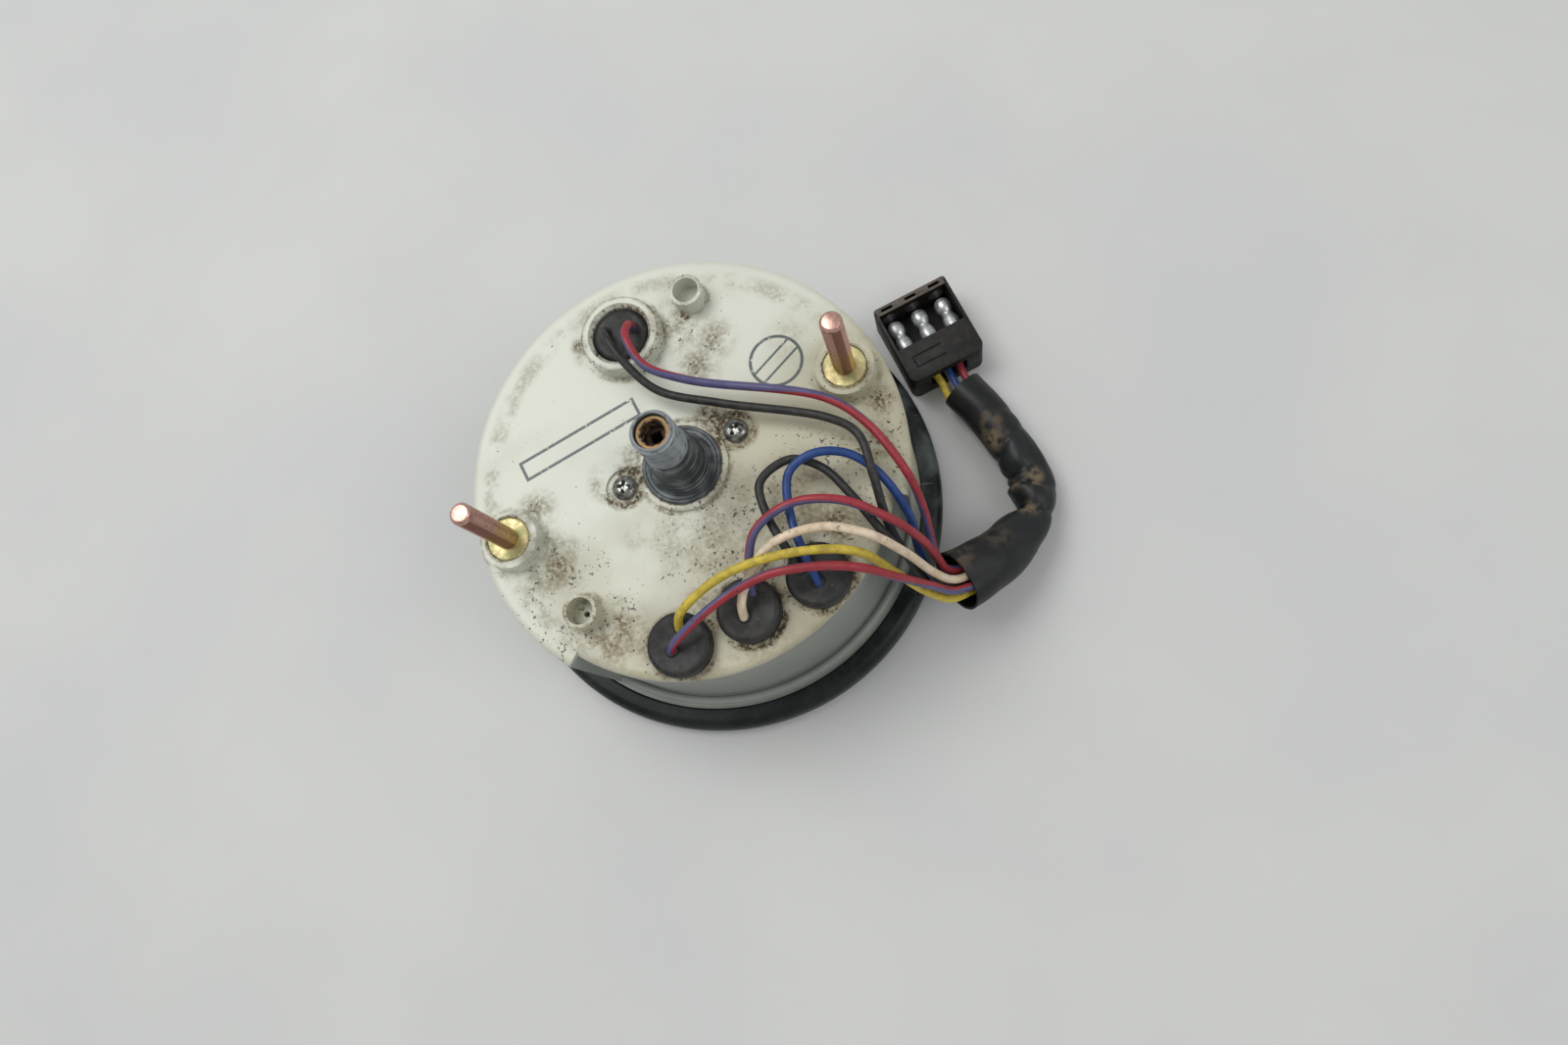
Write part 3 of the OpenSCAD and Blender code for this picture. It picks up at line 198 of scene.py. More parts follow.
# what each finish has unless it says otherwise; patch, dustPatch, speckSize, grain and rings are noise scales
usual = {
    "patch": 90, "amount": 0.5, "grain": 2500, "depth": 0.00006, "bump": 0.5, "metal": 0.0, "ior": 1.46,
    "coat": 0.0, "clear": 0.0, "dustPatch": 220, "dustAmount": 0.4, "dustSide": 0.35, "speckSize": 1500,
    "patchFrom": (0.42, 0.66), "roughFrom": (0.3, 0.7), "dustFrom": (0.40, 0.72), "upFrom": (0.1, 0.9),
    "speckFrom": (0.70, 0.76), "ringShare": 0.6, "ringWaver": 0.4,
}
wireCover = {
    "rough": (0.35, 0.55), "patch": 200, "dustAmount": 0.25, "dustPatch": 600, "speckSize": 900,
    "depth": 0.00004,
}
finishes = {
    "steel": {"colour": (186, 187, 190), "second": (150, 150, 152), "rough": (0.25, 0.45), "metal": 1.0,
              "rings": 900, "depth": 0.00002},
    "chrome": {"colour": (158, 160, 156), "second": (78, 75, 68), "rough": (0.18, 0.42), "metal": 0.95,
               "patch": 620, "amount": 0.9, "dust": (84, 74, 60), "dustAmount": 0.45, "dustPatch": 800,
               "depth": 0.00003},
    "bronze": {"colour": (176, 124, 66), "second": (96, 62, 32), "rough": (0.25, 0.5), "metal": 1.0,
               "patch": 500, "rings": 700, "depth": 0.00003},
    "rustySteel": {"colour": (58, 42, 33), "second": (36, 28, 24), "rough": (0.55, 0.8), "metal": 0.4,
                   "patch": 500, "grain": 2200, "depth": 0.0001},
    "goldPlate": {"colour": (212, 198, 146), "second": (172, 174, 122), "rough": (0.36, 0.58), "metal": 0.6,
                  "patch": 260, "amount": 0.8, "dust": (112, 84, 50), "dustPatch": 500},
    "magnetAlloy": {"colour": (92, 92, 96), "second": (64, 64, 68), "rough": (0.4, 0.6), "metal": 0.9,
                    "rings": 500},
    "aluminium": {"colour": (205, 206, 208), "second": (180, 181, 184), "rough": (0.25, 0.4), "metal": 1.0,
                  "rings": 1200, "depth": 0.00002},
    "dieCast": {"colour": (158, 160, 163), "second": (128, 130, 134), "rough": (0.45, 0.65), "metal": 0.8,
                "grain": 1400, "depth": 0.0001},
    "rubber": {"colour": (25, 26, 27), "second": (38, 37, 36), "rough": (0.46, 0.68), "patch": 130,
               "dust": (92, 84, 70), "dustAmount": 0.22, "dustPatch": 420, "dustSide": 0.5,
               "speck": (84, 78, 68), "grain": 1600, "depth": 0.0001},
    "innerRubber": {"colour": (30, 30, 31), "second": (42, 42, 42), "rough": (0.5, 0.7)},
    "maskPlastic": {"colour": (30, 30, 32), "second": (38, 38, 40), "rough": (0.55, 0.7), "grain": 3500,
                    "depth": 0.00005},
    "dialPaint": {"colour": (22, 22, 24), "second": (30, 30, 32), "rough": (0.6, 0.75), "grain": 4000,
                  "depth": 0.00003},
    "dialPrint": {"colour": (232, 232, 226), "second": (214, 214, 206), "rough": (0.5, 0.65)},
    "orangePaint": {"colour": (226, 92, 36), "second": (206, 76, 30), "rough": (0.4, 0.55)},
    "gearPlastic": {"colour": (226, 222, 208), "second": (206, 200, 184), "rough": (0.4, 0.55), "coat": 0.1},
    "drumWhite": {"colour": (228, 226, 216), "second": (212, 208, 196), "rough": (0.45, 0.6)},
    "drumBlack": {"colour": (28, 28, 29), "second": (38, 38, 38), "rough": (0.45, 0.6)},
    "digitInk": {"colour": (24, 24, 26), "second": (36, 36, 38), "rough": (0.5, 0.6)},
    "bulbGlass": {"colour": (244, 244, 240), "second": (236, 236, 230), "rough": (0.02, 0.08), "clear": 1.0,
                  "grain": 800, "depth": 0.00002},
    "blackWire": {**wireCover, "colour": (30, 31, 32), "second": (44, 43, 41), "rough": (0.40, 0.60),
                  "patch": 260, "dust": (96, 90, 80), "dustAmount": 0.22, "dustPatch": 520},
    "redWire": {**wireCover, "colour": (154, 42, 54), "second": (124, 34, 43), "dust": (130, 80, 70),
                "speck": (70, 40, 40)},
    "purpleStripe": {**wireCover, "colour": (82, 80, 120), "second": (64, 62, 100),
                     "dust": (110, 100, 110), "speck": (50, 44, 60)},
    "blueWire": {**wireCover, "colour": (28, 64, 128), "second": (20, 46, 98), "dust": (80, 90, 120)},
    "whiteWire": {**wireCover, "colour": (226, 208, 182), "second": (204, 180, 148), "rough": (0.4, 0.6),
                  "patch": 150, "dust": (140, 116, 88), "dustAmount": 0.45, "dustPatch": 500,
                  "speck": (110, 86, 60), "speckSize": 1100},
    "yellowWire": {**wireCover, "colour": (206, 184, 66), "second": (178, 154, 50), "rough": (0.38, 0.58),
                   "patch": 180, "dust": (120, 96, 50), "dustAmount": 0.5, "dustPatch": 460,
                   "speck": (86, 70, 34)},
    "tin": {"colour": (200, 203, 202), "second": (122, 124, 124), "rough": (0.28, 0.46), "metal": 0.85,
            "patch": 500, "dust": (124, 122, 114), "dustAmount": 0.35, "dustPatch": 800, "depth": 0.00004},
    "connectorPlastic": {"colour": (24, 23, 22), "second": (35, 32, 30), "rough": (0.45, 0.65), "ior": 1.36,
                         "patch": 180, "dust": (84, 77, 68), "dustAmount": 0.14, "dustPatch": 500,
                         "dustSide": 0.2, "grain": 1500, "depth": 0.00008},
    "wornPlastic": {"colour": (86, 78, 68), "second": (58, 52, 46), "rough": (0.55, 0.75), "patch": 420,
                    "dust": (112, 102, 88), "grain": 1500, "depth": 0.00008},
}


# patches of a second colour, dust on what faces up, fine specks, grain or turned rings, uneven roughness
def makeFinish(name, look):
    m = Finish(name, look)
    patch = m.noise((look["patch"], 5.0))
    colour = m.mix(m.rise(patch, "patchFrom", 0.0, "amount"), "colour", "second")
    if "dust" in look:
        dusty = m.cloud((look["dustPatch"], 6.0, *look["dustFrom"], "dustAmount"))
        colour = m.mix(m.times(dusty, m.rise(m.facingUp(), "upFrom", "dustSide", 1.0)), colour, "dust")
    if "speck" in look:
        colour = m.mix(m.cloud((look["speckSize"], 1.0, *look["speckFrom"])), colour, "speck")
    height = m.noise((look["grain"], 2.0))
    if "rings" in look:
        inputs = {"Vector": m.place, "Scale": "rings", "Distortion": "ringWaver"}
        lines = m.add("TexWave", inputs, wave_type="BANDS", bands_direction="Z")
        height = m.mix("ringShare", height, lines.outputs[0])
    m.done(colour, m.rise(patch, "roughFrom", "rough"), height)


for name, look in finishes.items():
    makeFinish(name, {**usual, **look})


# case plastic: cream, with dirt round what stands on it, black specks and two ink outlines
caseLook = {
    "clean": (208, 211, 196),
    "aged": (187, 183, 158),
    "dirt": (116, 97, 66),
    "soot": (42, 37, 31),
    # grey-blue of the painted shade on the step under the lamps
    "wall": (118, 127, 130),
    "ink": (20, 47, 53),
    "rough": (0.36, 0.72),
    "ior": 1.49,
    "depth": 0.00006,
    "bump": 0.5,
    # heights between which the wall turns into the back, specks grow more, and the painted shade of the step
    # ends
    "backFrom": (0.049, 0.051),
    "specksFrom": (0.038, 0.051, 0.3, 1.0),
    "greyFrom": (0.0498, 0.0508, 1.0, 0.0),
    "agedBy": (22, 4.0),
    "agedTowards": (5.0, -9.0, 0.0),
    "agedFrom": (0.32, 0.72),
    "mottle": (160, 8.0, 0.30, 0.60),
    "fineMottle": (900, 4.0, 0.34, 0.58, 0.6),
    "leastMottle": 0.4,
    "lying": (0.0, 0.7, 0.3, 1.0),
    "veil": (60, 6.0, 0.46, 0.78),
    "veilTowards": (-0.2, 0.4, 0.14, 0.5),
    "sootFrom": (0.62, 0.98, 0.0, 0.65),
    "specks": (1050, 2.0),
    "speckLimit": (0.0, 0.8, 0.740, 0.618),
    "speckEdge": 0.02,
    "speckPatches": (90, 3.0, 0.36, 0.50, 0.9),
    "stepFrom": (0.0570, 0.0584),
    "stepTowards": (-0.036, -0.026, 0.7, 0.0),
    "inkWear": (700, 3.0, 0.26, 0.42),
    "grain": (1500, 3.0),
    "dirtHeight": 1.5,
    # in millimetres: place, inner and outer radius of each patch of dirt, and its strength
    "patches": [
        (12.5, 8.5, 3, 8, 0.9), (-20, 6, 2, 8.5, 0.8), (-13, 10, 1, 6, 0.6), (16, 39, 2, 12, 0.75),
        (4, 30, 1, 6, 0.4), (-12, 44, 1, 5, 0.5), (-43, 8, 1, 9, 0.7), (-44, -8, 2, 13, 0.8),
        (-35, -34, 3, 13, 0.8), (-28, -42, 1, 8, 0.7), (-10, -38, 1, 9, 0.6), (10, -38, 2, 10, 0.9),
        (30, -36, 2, 12, 0.9), (25, -24, 4, 20, 0.6), (48, -19, 2, 12, 0.8), (56, -9, 1, 7, 0.9),
        (4, -22, 5, 24, 0.45), (-10, -20, 2, 16, 0.35), (42, 20, 1, 10, 0.3), (-12.5, 48, 1, 4, 0.8),
        (23, 30, 1, 9, 0.75), (16, 25, 1, 9, 0.75), (-20, -12, 1, 7, 0.3), (14.2, 7.2, 1, 5, 1.0),
        (-12.8, 5, 1, 4, 1.0), (19, 41, 1, 4, 1.0),
    ],
    # in millimetres: centre, radius and reach of dirt that lies along a circle, and its strength
    "rings": [
        (0, 42.8, 8.4, 1.4, 0.9), (0, 42.8, 11.8, 2.0, 0.8), (17.3, 2.3, 5, 2.2, 1.0),
        (-17.3, 2.3, 5, 2.4, 1.0), (0, 0, 13.2, 1.6, 0.8), (0, 0, 11.3, 0.6, 0.9),
        (51.5, 2.5, 6.4, 0.8, 0.8), (-51.5, 2.5, 6.4, 0.8, 0.9), (51.5, 2.5, 9, 1.8, 0.5),
        (-51.5, 2.5, 9, 2.2, 0.7), (22.2, 44.7, 4.8, 1.6, 0.6), (-40.6, -25.5, 4.8, 2.0, 0.7),
        (0, -45.3, 9, 2.6, 1.0), (20.3, -45.3, 9, 2.6, 1.0), (-20.3, -45.3, 9, 2.2, 0.9),
        (0, 0, 56, 4.0, 0.35),
    ],
    # in millimetres: centre and reach of the places with many black specks
    "speckled": [(4, -22, 30), (43, -15, 26), (-42, -24, 25)],
    "crowding": 0.85,
    "dirtCrowding": 0.8,
    # in millimetres and degrees: the blank frame, and the blank stamp of a ring and two bars
    "frame": {"centre": (-23.4, 21.5), "half": (18.3, 2.7), "turn": 3.2},
    "stamp": {"centre": (35.9, 15.3), "radius": 7.3, "bars": 1.9, "turn": 22.0},
    "line": 0.45,
    "barThinned": 0.12,
    "inkStrength": 0.92,
}


def makeCasePlastic(look):
    m = Finish("casePlastic", look)
    flat = m.flat(m.place)
    y, height = m.axes(m.place)[1:]
    onBack = m.rise(height, "backFrom")

    def far(x, y):
        return m.vector("DISTANCE", flat, (x * mm, y * mm, 0))

    # place relative to a centre and turned about it
    def turnedPlace(shape):
        moved = m.vector("SUBTRACT", flat, (shape["centre"][0] * mm, shape["centre"][1] * mm, 0))
        inputs = {"Vector": moved, "Angle": -math.radians(shape["turn"])}
        return m.axes(m.add("VectorRotate", inputs, rotation_type="Z_AXIS").outputs[0])

    # the back turns darker and yellower, with more of a dusty veil, towards +X and -Y, and in random patches
    lean = m.vector("DOT_PRODUCT", m.place, "agedTowards")
    colour = m.mix(m.rise(m.calc("ADD", m.noise("agedBy"), lean), "agedFrom"), "clean", "aged")
    # dirt gathers round the fittings and is broken up by noise
    halos = [m.rise(far(x, y), near * mm, end * mm, strength, 0.0)
             for x, y, near, end, strength in look["patches"]]
    halos += [m.rise(m.away(far(x, y), radius * mm), reach * 0.2 * mm, reach * mm, strength, 0.0)
              for x, y, radius, reach, strength in look["rings"]]
    gathered = m.calc("MAXIMUM", *halos)
    mottled = m.times(m.cloud("mottle"), m.calc("ADD", m.cloud("fineMottle"), "leastMottle"))
    dirty = m.times(gathered, m.times(mottled, m.rise(m.facingUp(), "lying")), onBack)
    veil = m.times(m.cloud("veil"), m.rise(lean, "veilTowards"))
    colour = m.mix(m.calc("MAXIMUM", dirty, veil), colour, "dirt")
    colour = m.mix(m.rise(dirty, "sootFrom"), colour, "soot")
    # black specks, denser where the dirt is and few down the wall
    crowds = [m.rise(far(x, y), reach * 0.4 * mm, reach * mm, "crowding", 0.0)
              for x, y, reach in look["speckled"]]
    crowded = m.calc("MAXIMUM", m.times(gathered, "dirtCrowding"), *crowds)
    crowded = m.times(crowded, m.rise(height, "specksFrom"))
    above = m.calc("SUBTRACT", m.noise("specks"), m.rise(crowded, "speckLimit"))
    speck = m.times(m.rise(above, 0.0, "speckEdge"), m.cloud("speckPatches"))
    colour = m.mix(speck, colour, "soot")
    # painted shade: the step under the lamps is painted greyer than the back, as the shade in the recess
    paintedStepShade = m.times(m.rise(far(0, 0), "stepFrom"), m.rise(height, "greyFrom"), m.rise(y, "stepTowards"))
    colour = m.mix(paintedStepShade, colour, "wall")
    # ink outlines
    across, along = turnedPlace(look["frame"])[:2]
    halfX, halfY = look["frame"]["half"]
    sideX = m.calc("SUBTRACT", m.absolute(across), halfX * mm)
    sideY = m.calc("SUBTRACT", m.absolute(along), halfY * mm)
    box = m.absolute(m.calc("MAXIMUM", sideX, sideY))
    stamp = look["stamp"]
    outside = m.calc("SUBTRACT", far(*stamp["centre"]), stamp["radius"] * mm)
    bars = m.away(m.absolute(turnedPlace(stamp)[1]), stamp["bars"] * mm)
    bars = m.calc("MAXIMUM", m.calc("ADD", bars, look["barThinned"] * mm), outside)
    nearest = m.calc("MINIMUM", m.absolute(outside), bars, box)
    line = look["line"] * mm
    inked = m.rise(nearest, line * 0.7, line * 1.3, "inkStrength", 0.0)
    colour = m.mix(m.times(inked, m.times(m.cloud("inkWear"), onBack)), colour, "ink")
    grain = m.calc("ADD", m.noise("grain"), m.times(dirty, "dirtHeight"))
    m.done(colour, m.rise(dirty, 0.0, 0.6, "rough"), grain)


makeCasePlastic(caseLook)


# stud plating: pinkish along the thread, turning to gold at the foot
studLook = {
    "pink": (206, 164, 150),
    "gold": (206, 172, 108),
    "dark": (110, 72, 60),
    "goldBelow": 0.0640,
    "pinkAbove": 0.0740,
    "blend": 0.02,
    "patch": (240, 4.0),
    "stains": (700, 5.0, 0.50, 0.70, 0.45),
    "rough": (0.24, 0.42),
    "metal": 0.9,
    "grain": (2600, 2.0),
    "depth": 0.00002,
    "bump": 0.5,
    # dirt and painted shade in the thread: axis, radii, heights and strength
    "axis": (0.0515, 0.0025),
    "roots": (0.00262, 0.00290),
    "thread": (0.0, 0.0844),
    "rootDirt": 0.8,
}


def makeStudPlate(look):
    m = Finish("studPlate", look)
    patch = m.noise("patch")
    uneven = m.shaken(m.axes(m.place)[2], patch, "blend")
    colour = m.mix(m.rise(uneven, "goldBelow", "pinkAbove"), "gold", "pink")
    bothSides = m.vector("ABSOLUTE", m.place)
    # stains, and dirt with painted shade in the thread's roots
    dirty = m.calc("MAXIMUM", m.cloud("stains"), m.roots(bothSides))
    colour = m.mix(dirty, colour, "dark")
    m.done(colour, m.rise(patch, 0.3, 0.7, "rough"), m.noise("grain"))


makeStudPlate(studLook)


# zinc of the socket: grey at the tip, darker and rougher on the skirt
zincLook = {
    "tip": (156, 162, 165),
    "skirt": (70, 75, 77),
    "worn": (128, 133, 135),
    "dirt": (52, 46, 39),
    "skirtBelow": 0.0665,
    "tipAbove": 0.0700,
    "patch": (260, 5.0),
    "wornFrom": (0.42, 0.62),
    "wornShare": 0.7,
    "stains": (520, 6.0, 0.46, 0.68, 0.55),
    "rough": (0.42, 0.62),
    "metal": 0.55,
    "grain": (1500, 3.0),
    "depth": 0.00008,
    "bump": 0.5,
    # dirt and painted shade in the thread: axis, radii, heights and strength
    "axis": (0.0, 0.0),
    "roots": (0.00545, 0.00588),
    "thread": (0.0680, 0.0813),
    "rootDirt": 0.95,
}


def makeZinc(look):
    m = Finish("zinc", look)
    patch = m.noise("patch")
    rubbed = m.times(m.rise(patch, "wornFrom"), "wornShare")
    skirt = m.mix(rubbed, "skirt", "worn")
    atTip = m.rise(m.axes(m.place)[2], "skirtBelow", "tipAbove")
    # stains, and dirt with painted shade in the thread's roots
    dirty = m.calc("MAXIMUM", m.cloud("stains"), m.roots(m.place))
    colour = m.mix(dirty, m.mix(atTip, skirt, "tip"), "dirt")
    m.done(colour, m.rise(patch, 0.3, 0.7, "rough"), m.noise("grain"))


makeZinc(zincLook)


# bronze of the bush: a golden ring on a dirty face, with painted shadow in black outside the ring where the
# gap round the bush lies
bushLook = {
    "gold": (156, 122, 76),
    "brown": (74, 56, 40),
    "pale": (166, 146, 116),
    # black of the painted shadow in the gap outside the ring
    "black": (26, 22, 19),
    "ring": 0.0040,
    "halfRing": 0.00032,
    "waver": 0.0006,
    "patch": (900, 4.0),
    "paleFrom": (0.42, 0.62),
    "ringWear": (0.36, 0.50, 0.45, 1.0),
    "ringStrength": 0.9,
    "rough": (0.38, 0.62),
    "metal": 0.6,
    "depth": 0.00005,
    "bump": 0.5,
}


def makeBushBronze(look):
    m = Finish("bushBronze", look)
    patch = m.noise("patch")
    outward = m.shaken(m.vector("LENGTH", m.flat(m.place)), patch, "waver")
    ring, half = look["ring"], look["halfRing"]
    # painted shadow: black outside the ring, where the gap round the bush lies
    gapShadow = m.rise(outward, ring + half * 0.8, ring + half * 1.6)
    mottled = m.mix(m.rise(patch, "paleFrom"), "brown", "pale")
    onRing = m.rise(m.away(outward, ring), half * 0.6, half * 1.2, "ringStrength", 0.0)
    onRing = m.times(onRing, m.rise(patch, "ringWear"))
    colour = m.mix(onRing, m.mix(gapShadow, mottled, "black"), "gold")
    m.done(colour, m.rise(patch, 0.3, 0.7, "rough"), patch)


makeBushBronze(bushLook)


# indicator lenses: one colour for each, told apart by their place
indicatorLook = {
    "colours": [(40, 150, 84), (44, 92, 196), (226, 138, 40)],
    "between": 0.0100,
    "haze": (230, 230, 220),
    "hazeShare": 0.15,
    "patch": (300, 3.0, 0.3, 0.7),
    "rough": (0.18, 0.32),
    "coat": 0.4,
    "grain": (1800, 2.0),
    "depth": 0.00003,
    "bump": 0.4,
}


def makeIndicatorPlastic(look):
    m = Finish("indicatorPlastic", look)
    x = m.axes(m.place)[0]
    first, second, third = look["colours"]
    colour = m.mix(m.calc("GREATER_THAN", x, "between"), second, third)
    colour = m.mix(m.calc("LESS_THAN", x, -look["between"]), colour, first)
    patch = m.cloud("patch")
    colour = m.mix(m.times(patch, "hazeShare"), colour, "haze")
    m.done(colour, m.rise(patch, 0.0, 1.0, "rough"), m.noise("grain"))


makeIndicatorPlastic(indicatorLook)


# bezel paint: satin black, with grey patches on the right that are scuffs and painted highlight, and chalky
# scratches down its side, most of them on the right
bezelLook = {
    "paint": (11, 15, 16),
    # grey of the scuffs and of the painted highlight on the right
    "worn": (84, 92, 92),
    "scratch": (146, 152, 150),
    "dust": (80, 82, 78),
    "right": (0.02, 0.06, 0.1, 1.0),
    "scuffs": (70, 5.0, 0.36, 0.66),
    "streaks": (85, 5.0),
    "streakLength": 22.0,
    "streakFrom": (0.58, 0.68),
    "streakPatches": (60, 3.0, 0.46, 0.60),
    "streakStrength": 0.6,
    "dusty": (420, 6.0, 0.50, 0.76, 0.14),
    "rough": (0.40, 0.58),
    "specular": 0.25,
    "grain": (1300, 3.0),
    "depth": 0.00003,
    "bump": 0.4,
}


def makeBezelPaint(look):
    m = Finish("bezelPaint", look)
    x, y, z = m.axes(m.place)
    onRight = m.rise(x, "right")
    # grey patches on the right side: scuffs and painted highlight
    worn = m.times(m.cloud("scuffs"), onRight)
    along = m.add("CombineXYZ", {0: m.calc("ARCTAN2", y, x), 2: m.times(z, "streakLength")})
    streaks = m.rise(m.noise("streaks", along.outputs[0]), "streakFrom")
    scratched = m.times(streaks, m.cloud("streakPatches"), "streakStrength", onRight)
    colour = m.mix(scratched, m.mix(worn, "paint", "worn"), "scratch")
    colour = m.mix(m.cloud("dusty"), colour, "dust")
    m.done(colour, m.rise(worn, 0.0, 1.0, "rough"), m.noise("grain"))


makeBezelPaint(bezelLook)


# sleeve: soft black tube with a bluish sheen and brown dust in its creases
sleeveLook = {
    "black": (14, 16, 17),
    "sheen": (33, 38, 41),
    "earth": (120, 104, 83),
    "dust": (74, 68, 60),
    "sheenPatches": (60, 4.0, 0.35, 0.70, 0.5),
    "earthPatches": (330, 8.0, 0.38, 0.58),
    "earthStrength": 0.85,
    "earthHeight": 0.6,
    "dusty": (320, 7.0, 0.50, 0.78, 0.14),
    "rough": (0.44, 0.78),
    "specular": 0.4,
    "grain": (260, 5.0),
    "depth": 0.0003,
    "bump": 0.35,
    # in millimetres: centre and radius of each patch of brown dust, and its strength
    "patches": [
        (82.2, -21.6, 13.5, 6.2, 1.0), (89.3, -38.0, 13.5, 4.8, 1.0), (82.3, -37.1, 12.0, 3.0, 0.9),
        (82.0, -46.5, 14.0, 4.4, 1.0), (85.6, -17.2, 13.5, 5.0, 0.5), (56.6, -52.0, 27.0, 6.2, 0.45),
        (69.2, -50.4, 21.0, 7.0, 0.25),
    ],
}


def makeSleevePlastic(look):
    m = Finish("sleevePlastic", look)
    colour = m.mix(m.cloud("sheenPatches"), "black", "sheen")
    halos = []
    for x, y, z, radius, strength in look["patches"]:
        far = m.vector("DISTANCE", m.place, (x * mm, y * mm, z * mm))
        halos.append(m.rise(far, radius * 0.3 * mm, radius * mm, strength, 0.0))
    gathered = m.calc("MAXIMUM", *halos)
    earth = m.times(gathered, m.cloud("earthPatches"), "earthStrength")
    colour = m.mix(earth, m.mix(m.cloud("dusty"), colour, "dust"), "earth")
    height = m.calc("ADD", m.noise("grain"), m.times(earth, "earthHeight"))
    m.done(colour, m.rise(earth, 0.0, 0.6, "rough"), height)


makeSleevePlastic(sleeveLook)


# front glass, a little smeared
glassLook = {
    "tints": ((250, 252, 252), (240, 246, 247)),
    "tintPatches": (15, 2.0),
    "smears": (40, 5.0),
    "rough": (0.0, 0.06),
    "clear": 1.0,
    "ior": 1.49,
}


def makeGlass(look):
    m = Finish("frontGlass", look)
    smear = m.rise(m.noise("smears"), 0.45, 0.75, "rough")
    m.done(m.mix(m.noise("tintPatches"), *look["tints"]), smear)


makeGlass(glassLook)
print("materials made")


# smooth line through given points
def smoothRoute(points):
    steps = 12
    through = [Vector(p) for p in points]
    through = [2 * through[0] - through[1]] + through + [2 * through[-1] - through[-2]]
    line = []
    for a, b, c, d in zip(through, through[1:], through[2:], through[3:]):
        atB = math.sqrt((b - a).length)
        atC = atB + math.sqrt((c - b).length)
        atD = atC + math.sqrt((d - c).length)
        for k in range(steps):
            t = atB + (atC - atB) * k / steps
            ab = a.lerp(b, t / atB)
            bc = b.lerp(c, (t - atB) / (atC - atB))
            cd = c.lerp(d, (t - atC) / (atD - atC))
            abc = ab.lerp(bc, t / atC)
            bcd = bc.lerp(cd, (t - atB) / (atD - atB))
            line.append(abc.lerp(bcd, (t - atB) / (atC - atB)))
    line.append(through[-2])
    return line


# points of a line at even steps
def evenly(line, step):
    lengths = [0.0]
    for a, b in zip(line, line[1:]):
        lengths.append(lengths[-1] + (b - a).length)
    count = max(2, round(lengths[-1] / step))
    placed = []
    i = 0
    for k in range(count + 1):
        at = lengths[-1] * k / count
        while i < len(lengths) - 2 and lengths[i + 1] < at:
            i += 1
        placed.append(line[i].lerp(line[i + 1], (at - lengths[i]) / (lengths[i + 1] - lengths[i])))
    return placed, lengths[-1]


# heading and side at each point of a line, carried along without twist
def carriedSides(line):
    last = len(line) - 1
    headings = [(line[min(i + 1, last)] - line[max(i - 1, 0)]).normalized() for i in range(last + 1)]
    side = Vector((0, 0, 1)) if abs(headings[0].z) < 0.9 else Vector((1, 0, 0))
    sides = []
    for h in headings:
        side = (side - side.dot(h) * h).normalized()
        sides.append(side)
    return headings, sides


# piece from rings of points, where a ring of one point closes an end
def joinRings(name, rings, loop=False, sharp=40):
    points = []
    starts = []
    for ring in rings:
        starts.append(len(points))
        points.extend(ring)
    pairs = list(zip(range(len(rings)), range(1, len(rings))))
    if loop:
        pairs.append((len(rings) - 1, 0))
    faces = []
    for i, j in pairs:
        a, b = starts[i], starts[j]
        count = max(len(rings[i]), len(rings[j]))
        for k in range(count):
            m = (k + 1) % count
            if len(rings[i]) == 1:
                faces.append((a, b + k, b + m))
            elif len(rings[j]) == 1:
                faces.append((a + m, a + k, b))
            else:
                faces.append((a + m, a + k, b + k, b + m))
    return makePiece(name, points, faces, sharp)


def flatPiece(name, points, faces):
    mesh = bpy.data.meshes.new(name)
    mesh.from_pydata([tuple(p) for p in points], [], faces)
    return linked(name, mesh)


def makePiece(name, points, faces, sharp=40):
    piece = flatPiece(name, points, faces)
    work = bmesh.new()
    work.from_mesh(piece.data)
    bmesh.ops.recalc_face_normals(work, faces=work.faces)
    work.to_mesh(piece.data)
    work.free()
    smoothFaces(piece.data, sharp)
    return piece


def smoothFaces(mesh, sharp=40):
    mesh.polygons.foreach_set("use_smooth", [True] * len(mesh.polygons))
    mesh.set_sharp_from_angle(angle=math.radians(sharp))


# profile of radius and height with each corner rounded
def softened(profile, radius, loop=True):
    steps = 3
    last = len(profile) - 1
    soft = []
    for i, (r, z) in enumerate(profile):
        if not loop and i in (0, last):
            soft.append((r, z))
            continue
        corner = Vector((r, z))
        before = Vector(profile[i - 1]) - corner
        after = Vector(profile[(i + 1) % len(profile)]) - corner
        cut = min(radius, before.length * 0.45, after.length * 0.45)
        start = corner + before.normalized() * cut
        end = corner + after.normalized() * cut
        for k in range(steps + 1):
            t = k / steps
            p = (1 - t) ** 2 * start + 2 * t * (1 - t) * corner + t * t * end
            soft.append((p.x, p.y))
    return soft


# rings of a profile turned about an upright axis, in millimetres
def turnedRings(profile, at, sides, shape=None):
    rings = []
    for r, z in profile:
        if r < 1e-6:
            rings.append([Vector((at[0], at[1], z)) * mm])
            continue
        ring = []
        for k in range(sides):
            angle = 2 * math.pi * k / sides
            reach = r if shape is None else shape(r, z, angle)
            ring.append(Vector((at[0] + reach * math.cos(angle), at[1] + reach * math.sin(angle), z)) * mm)
        rings.append(ring)
    return rings


def turned(name, profile, at=(0, 0), sides=96, loop=True, shape=None, sharp=40):
    return joinRings(name, turnedRings(profile, at, sides, shape), loop, sharp)


# lowest and highest corner of a node, in millimetres
def boxOf(node):
    return [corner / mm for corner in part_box(node)]


